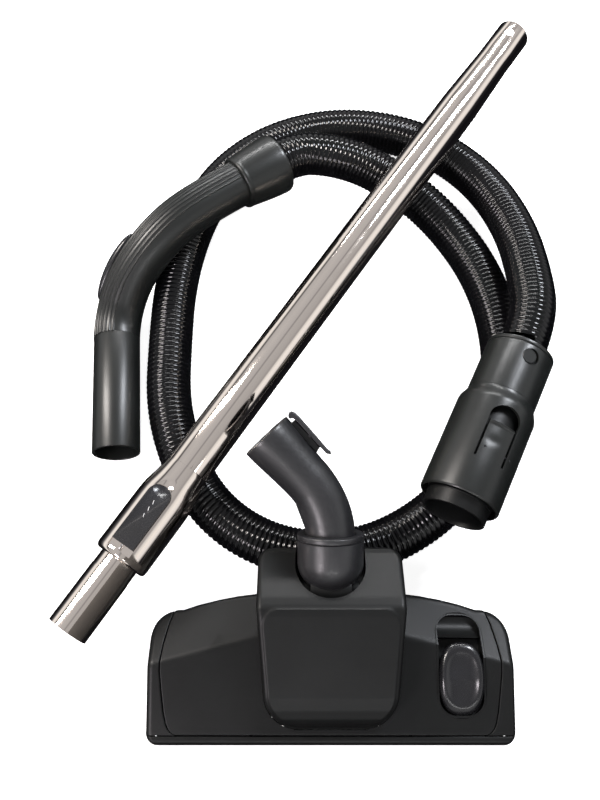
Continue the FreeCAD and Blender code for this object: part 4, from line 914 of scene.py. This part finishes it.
def cover_surface(u, v, side):
    """The centre cover, with a front panel raised 0.7 mm inside a rounded outline."""
    y = COVER_FRONT + eased(v) * (COVER_BACK - COVER_FRONT)
    x = (2 * eased(u) - 1) * cover_half(y)
    if not side:
        return head_point(x, y, 0.0172 if y < 0.1085 else 0.0418)
    inward = cover_half(max(y, 0.034)) - 0.0030 - abs(x)
    along = min(y - 0.0125, 0.0905 - y)
    round_off = 0.014 if y > 0.05 else 0.021
    if inward < round_off and along < round_off:
        depth = round_off - math.hypot(round_off - inward, round_off - along)
    else:
        depth = min(inward, along)
    raised = 0.0007 * min(max(depth / 0.0012, 0.0), 1.0)
    return head_point(x, y, between(COVER_TOP, y) + raised - drop(cover_half(y) - abs(x), 0.004))


cover_depths = [COVER_FRONT + (COVER_BACK - COVER_FRONT) * eased(k / 60) for k in range(61)]
opening = [(cover_half(y) + 0.0009, y) for y in cover_depths]
opening = [(x, y - 0.0009 if y == COVER_FRONT else y) for x, y in opening]
opening += [(-x, y) for x, y in reversed(opening)]
carve(top_housing, prism("cover_opening", opening, SPLIT - 0.002, 0.06))
PEDAL_X = 0.0965
well_rim = []
for k in range(64):
    turn = 2 * math.pi * k / 64
    corner = (0.0022 if math.cos(turn) > 0 else -0.0022, 0.0219 if math.sin(turn) > 0 else -0.0219)
    well_rim.append((PEDAL_X + corner[0] + 0.016 * math.cos(turn), 0.0555 + corner[1] + 0.016 * math.sin(turn)))
carve(top_housing, prism("pedal_opening", well_rim, SPLIT - 0.002, 0.06))
fit(top_housing, abs_textured_black, "top_housing")
fit(shell("end_cap_left_skin", cap_surface(-1), 24, 60), abs_textured_black, "end_cap_left")
fit(shell("end_cap_right_skin", cap_surface(1), 24, 60), abs_textured_black, "end_cap_right")
front_strip = shell("front_strip", strip_surface, 150, 16)
front_strip.data.materials.append(abs_textured_black)
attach(front_strip, body_of_node["front_bumper"])

centre_cover = shell("centre_cover_skin", cover_surface, 120, 140)
carve(centre_cover, arched_bar("neck_notch", AT_HEAD, 0.0974, 0.06, 0.0522, 0.005, 0.09, steps=40))
fit(centre_cover, abs_textured_black, "centre_cover")

for name in ("base_housing", "pedal_well", "air_duct", "neck_cradle", "brush_carriage"):
    fit(moulded_copy(name, 0.0004), abs_textured_black, name)
fit(moulded_copy("front_bumper", 0.0004), rubber_black, "front_bumper")


def tub_skirt(u, v, side):
    """The tub's outer wall, under the rounded corners."""
    turn = 2 * math.pi * u
    across = math.cos(turn)
    x = 0.1355 * (abs(across) ** 0.35) * (1 if across > 0 else -1)
    y = back_edge(x) - 0.0004 if math.sin(turn) > 0 else 0.0004
    if math.sin(turn) <= 0 and abs(x) > 0.127:
        y = 0.0094 - 0.009 * math.sqrt(max(0.0, 1 - ((abs(x) - 0.127) / 0.009) ** 2))
    inset = 0.0 if side else 0.002
    y = min(max(y, inset), 0.108 - inset)
    return head_point(x * (1 - inset / 0.136), y, 0.0028 + v * 0.0128)


skirt = shell("tub_skirt", tub_skirt, 240, 1)
skirt.data.materials.append(abs_textured_black)
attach(skirt, body_of_node["base_housing"])

# painted shade: a dark plate closes the space under the hood, where the lit table would glow through and the real
# floor lies in shadow; it is guessed as a splash guard of the tub
under_hood_shade_plate = prism("painted_shade_plate_under_hood", [(-0.05, 0.104), (0.05, 0.104), (0.05, 0.134), (0.046, 0.1365), (-0.046, 0.1365),
                                    (-0.05, 0.134)], 0.009, 0.0115)
under_hood_shade_plate.data.materials.append(abs_textured_black)
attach(under_hood_shade_plate, body_of_node["base_housing"])

# the pedal: an oval cap with a rounded rim and a dished middle, sloping down to the front
PEDAL_SLOPE = [(0.0195, 0.0268), (0.03, 0.0318), (0.044, 0.0366), (0.0705, 0.0388)]
PEDAL_RINGS = [(0.0, -0.0024), (0.3, -0.0023), (0.5, -0.0019), (0.62, -0.0012), (0.7, -0.0005), (0.75, 0.0),
               (0.82, 0.0001), (0.88, -0.0003), (0.94, -0.0010), (0.98, -0.0019), (1.0, -0.0032), (1.0, -0.008),
               (0.0, -0.008)]
pedal_points, pedal_faces = [], []
for share, fall in PEDAL_RINGS:
    for k in range(72):
        turn = 2 * math.pi * k / 72
        across, along = math.cos(turn), math.sin(turn)
        x = 0.0163 * share * abs(across) ** 0.8 * (1 if across > 0 else -1)
        y = 0.045 + 0.0255 * share * abs(along) ** 0.8 * (1 if along > 0 else -1)
        pedal_points.append(head_point(PEDAL_X + x, y, between(PEDAL_SLOPE, y) + fall))
for i in range(len(PEDAL_RINGS) - 1):
    for k in range(72):
        a, b = i * 72 + k, i * 72 + (k + 1) % 72
        pedal_faces.append((a, b, b + 72, a + 72))
fit(new_piece("pedal_skin", pedal_points, pedal_faces), abs_polished_charcoal, "pedal")


def ledge_surface(u, v, side):
    """The scooped ledge behind the pedal."""
    x = PEDAL_X + (2 * u - 1) * 0.016
    y = 0.0745 + v * 0.016
    floor = wing_height(x, y) - 0.0035 - 0.003 * math.sin(math.pi * v)
    return head_point(x, y, floor if side else 0.019)


ledge = shell("well_ledge", ledge_surface, 20, 16)
ledge.data.materials.append(abs_textured_black)
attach(ledge, body_of_node["pedal_well"])

# ------------------------------------------------------------------ sole, wheels and brushes
# Underneath: a steel sole plate pressed round the suction mouth, two rubber-tyred wheels, two
# strips of directional lint fabric, and the brushes on their carriage.

# Stainless sheet, rolled and brushed: grey with fine lines across the head, drawn 0.5 mm apart.
sole_steel, sole_out = finish_named("stainless_sheet_brushed")
sole_place = add_node(sole_steel, "TexCoord", {})
sole_stretch = add_node(sole_steel, "Mapping", {"Scale": (20, 2000, 2000)},
                        [("Vector", sole_place.outputs["Object"])])
sole_lines = add_node(sole_steel, "TexNoise", {"Scale": 1.0, "Detail": 2.0},
                      [("Vector", sole_stretch.outputs[0])])
sole_gloss = add_node(sole_steel, "MapRange", {"To Min": 0.28, "To Max": 0.5},
                      [("Value", sole_lines.outputs["Fac"])])
sole_metal = add_node(sole_steel, "BsdfPrincipled", {"Base Color": linear("a9a9aa"), "Metallic": 1.0},
                      [("Roughness", sole_gloss.outputs[0])])
sole_steel.node_tree.links.new(sole_metal.outputs[0], sole_out.inputs["Surface"])
fit(moulded_copy("sole_plate", 0.0004), sole_steel, "sole_plate")
fit(moulded_copy("rear_wheel_left", 0.0012), rubber_black, "rear_wheel_left")
fit(moulded_copy("rear_wheel_right", 0.0012), rubber_black, "rear_wheel_right")

# Lint fabric, tufted and sheared: a short dense red pile laid one way.
lint_red, lint_out = finish_named("lint_fabric_tufted_red")
lint_place = add_node(lint_red, "TexCoord", {})
lint_tufts = add_node(lint_red, "TexVoronoi", {"Scale": 1 / 0.0006}, [("Vector", lint_place.outputs["Object"])])
lint_tint = add_node(lint_red, "ValToRGB", {}, [("Fac", lint_tufts.outputs["Distance"])])
lint_tint.color_ramp.elements[0].color = linear("a02424")
lint_tint.color_ramp.elements[1].color = linear("5c1010")
lint_pile = add_node(lint_red, "Bump", {"Strength": 0.8, "Distance": 0.0003},
                     [("Height", lint_tufts.outputs["Distance"])])
lint = add_node(lint_red, "BsdfPrincipled", {"Roughness": 0.95, "Sheen Weight": 0.5},
                [("Base Color", lint_tint.outputs["Color"]), ("Normal", lint_pile.outputs[0])])
lint_red.node_tree.links.new(lint.outputs[0], lint_out.inputs["Surface"])
dress(lint_red, "lint_strips")

# Nylon bristle, extruded and cut: black, with a dull sheen along each hair.
nylon_bristle, nylon_out = finish_named("nylon_bristle_black")
nylon_place = add_node(nylon_bristle, "TexCoord", {})
nylon_mix = add_node(nylon_bristle, "TexNoise", {"Scale": 1 / 0.002}, [("Vector", nylon_place.outputs["Object"])])
nylon_tint = add_node(nylon_bristle, "ValToRGB", {}, [("Fac", nylon_mix.outputs["Fac"])])
nylon_tint.color_ramp.elements[0].color = linear("141414")
nylon_tint.color_ramp.elements[1].color = linear("2a2a2a")
nylon = add_node(nylon_bristle, "BsdfPrincipled", {"Roughness": 0.4, "IOR": 1.53},
                 [("Base Color", nylon_tint.outputs["Color"])])
nylon_bristle.node_tree.links.new(nylon.outputs[0], nylon_out.inputs["Surface"])
for name in ("front_brush", "rear_brush"):
    low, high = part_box(name)
    hairs, faces = [], []
    count = int((high.x - low.x) / 0.0016)
    for i in range(count):
        for row in range(4):
            x = low.x + (high.x - low.x) * (i + 0.5 + 0.25 * (row % 2)) / (count + 1)
            y = low.y + (high.y - low.y) * (row + 0.5) / 4
            splay = 0.0005 * math.sin(i * 12.9898 + row * 78.233)
            first = len(hairs)
            for z, shift, r in ((high.z, 0, 0.0005), (low.z, splay, 0.0003)):
                for turn in (0.5, 2.6, 4.7):
                    hairs.append((x + shift + r * math.cos(turn), y + shift / 2 + r * math.sin(turn), z))
            faces += [(first, first + 1, first + 4, first + 3), (first + 1, first + 2, first + 5, first + 4),
                      (first + 2, first, first + 3, first + 5), (first, first + 2, first + 1),
                      (first + 3, first + 4, first + 5)]
    fit(new_piece(name + "_hairs", hairs, faces), nylon_bristle, name)

# ------------------------------------------------------------------ neck and elbow
# The neck tilts between the two ears of the cradle, and the elbow turns in its cuff. Both are
# satin graphite ABS, and the elbow's lever clip is held by a steel pin and a small spring.

# Satin ABS, graphite: lighter and greyer than the handle, with a broad highlight.
abs_satin_graphite = moulded_abs("abs_moulded_satin_graphite", "1f1f21", "29292b", 0.34, 0.002, 0.00001)
fit(moulded_copy("neck_barrel", 0.0004), abs_textured_black, "neck_barrel")
AT_NECK = facing((0.006, -0.2095, 0.0519), (0, 0.9063, 0.4226))
cup_section = [(0.0381, 0.0222), (0.0384, 0.0238), (0.0379, 0.0244), (0.0370, 0.0245), (0.0220, 0.0245)]
cup_section += [(0.022 - 0.021 * math.sin(math.pi * k / 24), 0.0245 * math.cos(math.pi * k / 24) ** 0.8)
                for k in range(1, 12)]
cup_section += [(0.001, 0.0), (0.003, 0.0), (0.022, 0.0222)]
fit(turned("neck_cup", cup_section, AT_NECK, close=True), abs_satin_graphite, "neck_cuff")
fit(moulded_copy("neck_ring", 0.0008), abs_satin_graphite, "neck_ring")
ELBOW_TURN = math.radians(43)
ELBOW_BEND = 0.0673
ELBOW_START = 0.038
ELBOW_STRAIGHT = 0.0432
elbow_spots = [Vector((0, 0, 0.0338)), Vector((0, 0, ELBOW_START))]
for k in range(1, 25):
    turn = ELBOW_TURN * k / 24
    elbow_spots.append(Vector((ELBOW_BEND * (1 - math.cos(turn)), 0, ELBOW_START + ELBOW_BEND * math.sin(turn))))
mouth_way = Vector((math.sin(ELBOW_TURN), 0, math.cos(ELBOW_TURN)))
elbow_spots += [elbow_spots[-1] + mouth_way * (ELBOW_STRAIGHT * k / 10) for k in range(1, 11)]
elbow_sweep = Sweep([AT_NECK @ spot for spot in elbow_spots], AT_NECK.to_3x3() @ Vector((0, 1, 0)))
elbow_long = elbow_sweep.length
elbow_girth = [(0, 0.0184), (0.02, 0.0183), (0.045, 0.0179), (0.06, 0.0182), (0.072, 0.0188), (0.085, 0.0197),
               (0.092, 0.0201), (0.098, 0.0202)]
elbow_stops = [(elbow_long * k / 80, between(elbow_girth, 0.0985 * k / 80)) for k in range(80)]
elbow_stops += [(elbow_long - 0.0003, 0.02), (elbow_long, 0.0193), (elbow_long, 0.0167), (elbow_long - 0.0006, 0.0162),
                (elbow_long - 0.041, 0.0161), (elbow_long - 0.0412, 0.0143), (0, 0.0143)]
fit(swept("elbow_skin", elbow_sweep, elbow_stops, around=96), abs_satin_graphite, "elbow")

AT_CLIP = AT_NECK @ facing(elbow_spots[-1], -mouth_way, Vector((-math.cos(ELBOW_TURN), 0, math.sin(ELBOW_TURN))))


def slab(name, outline, place, width):
    """A flat bar cut to an outline of (distance along Z, height along Y), width along X."""
    count = len(outline)
    points = [place @ Vector((x, y, z)) for x in (-width / 2, width / 2) for z, y in outline]
    faces = [tuple(range(count)), tuple(range(2 * count - 1, count - 1, -1))]
    faces += [(i, (i + 1) % count, (i + 1) % count + count, i + count) for i in range(count)]
    obj = new_piece(name, points, faces)
    edge = obj.modifiers.new("rounded_edges", "BEVEL")
    edge.width = 0.0005
    edge.segments = 3
    obj.data.set_sharp_from_angle(angle=math.radians(30))
    return obj


CLIP_SEAT = 0.0202
lever_line = [
    (0.0010, 0.0012), (-0.0006, 0.0030), (-0.0002, 0.0050), (0.0024, 0.0064), (0.0080, 0.0067),
    (0.0300, 0.0060), (0.0385, 0.0056), (0.0418, 0.0063), (0.0424, 0.0050), (0.0395, 0.0031),
    (0.0340, 0.0032), (0.0080, 0.0036), (0.0040, 0.0030), (0.0030, 0.0010),
]
fit(slab("clip_lever", [(z, CLIP_SEAT + y) for z, y in lever_line], AT_CLIP, 0.0115),
    abs_satin_graphite, "elbow_clip")
bracket_line = [(0.0060, -0.0015), (0.0065, 0.0030), (0.0200, 0.0033), (0.0330, 0.0029), (0.0345, -0.0018)]
bracket = slab("clip_bracket", [(z, CLIP_SEAT + y) for z, y in bracket_line], AT_CLIP, 0.0094)
bracket.data.materials.append(abs_textured_black)
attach(bracket, body_of_node["elbow"])
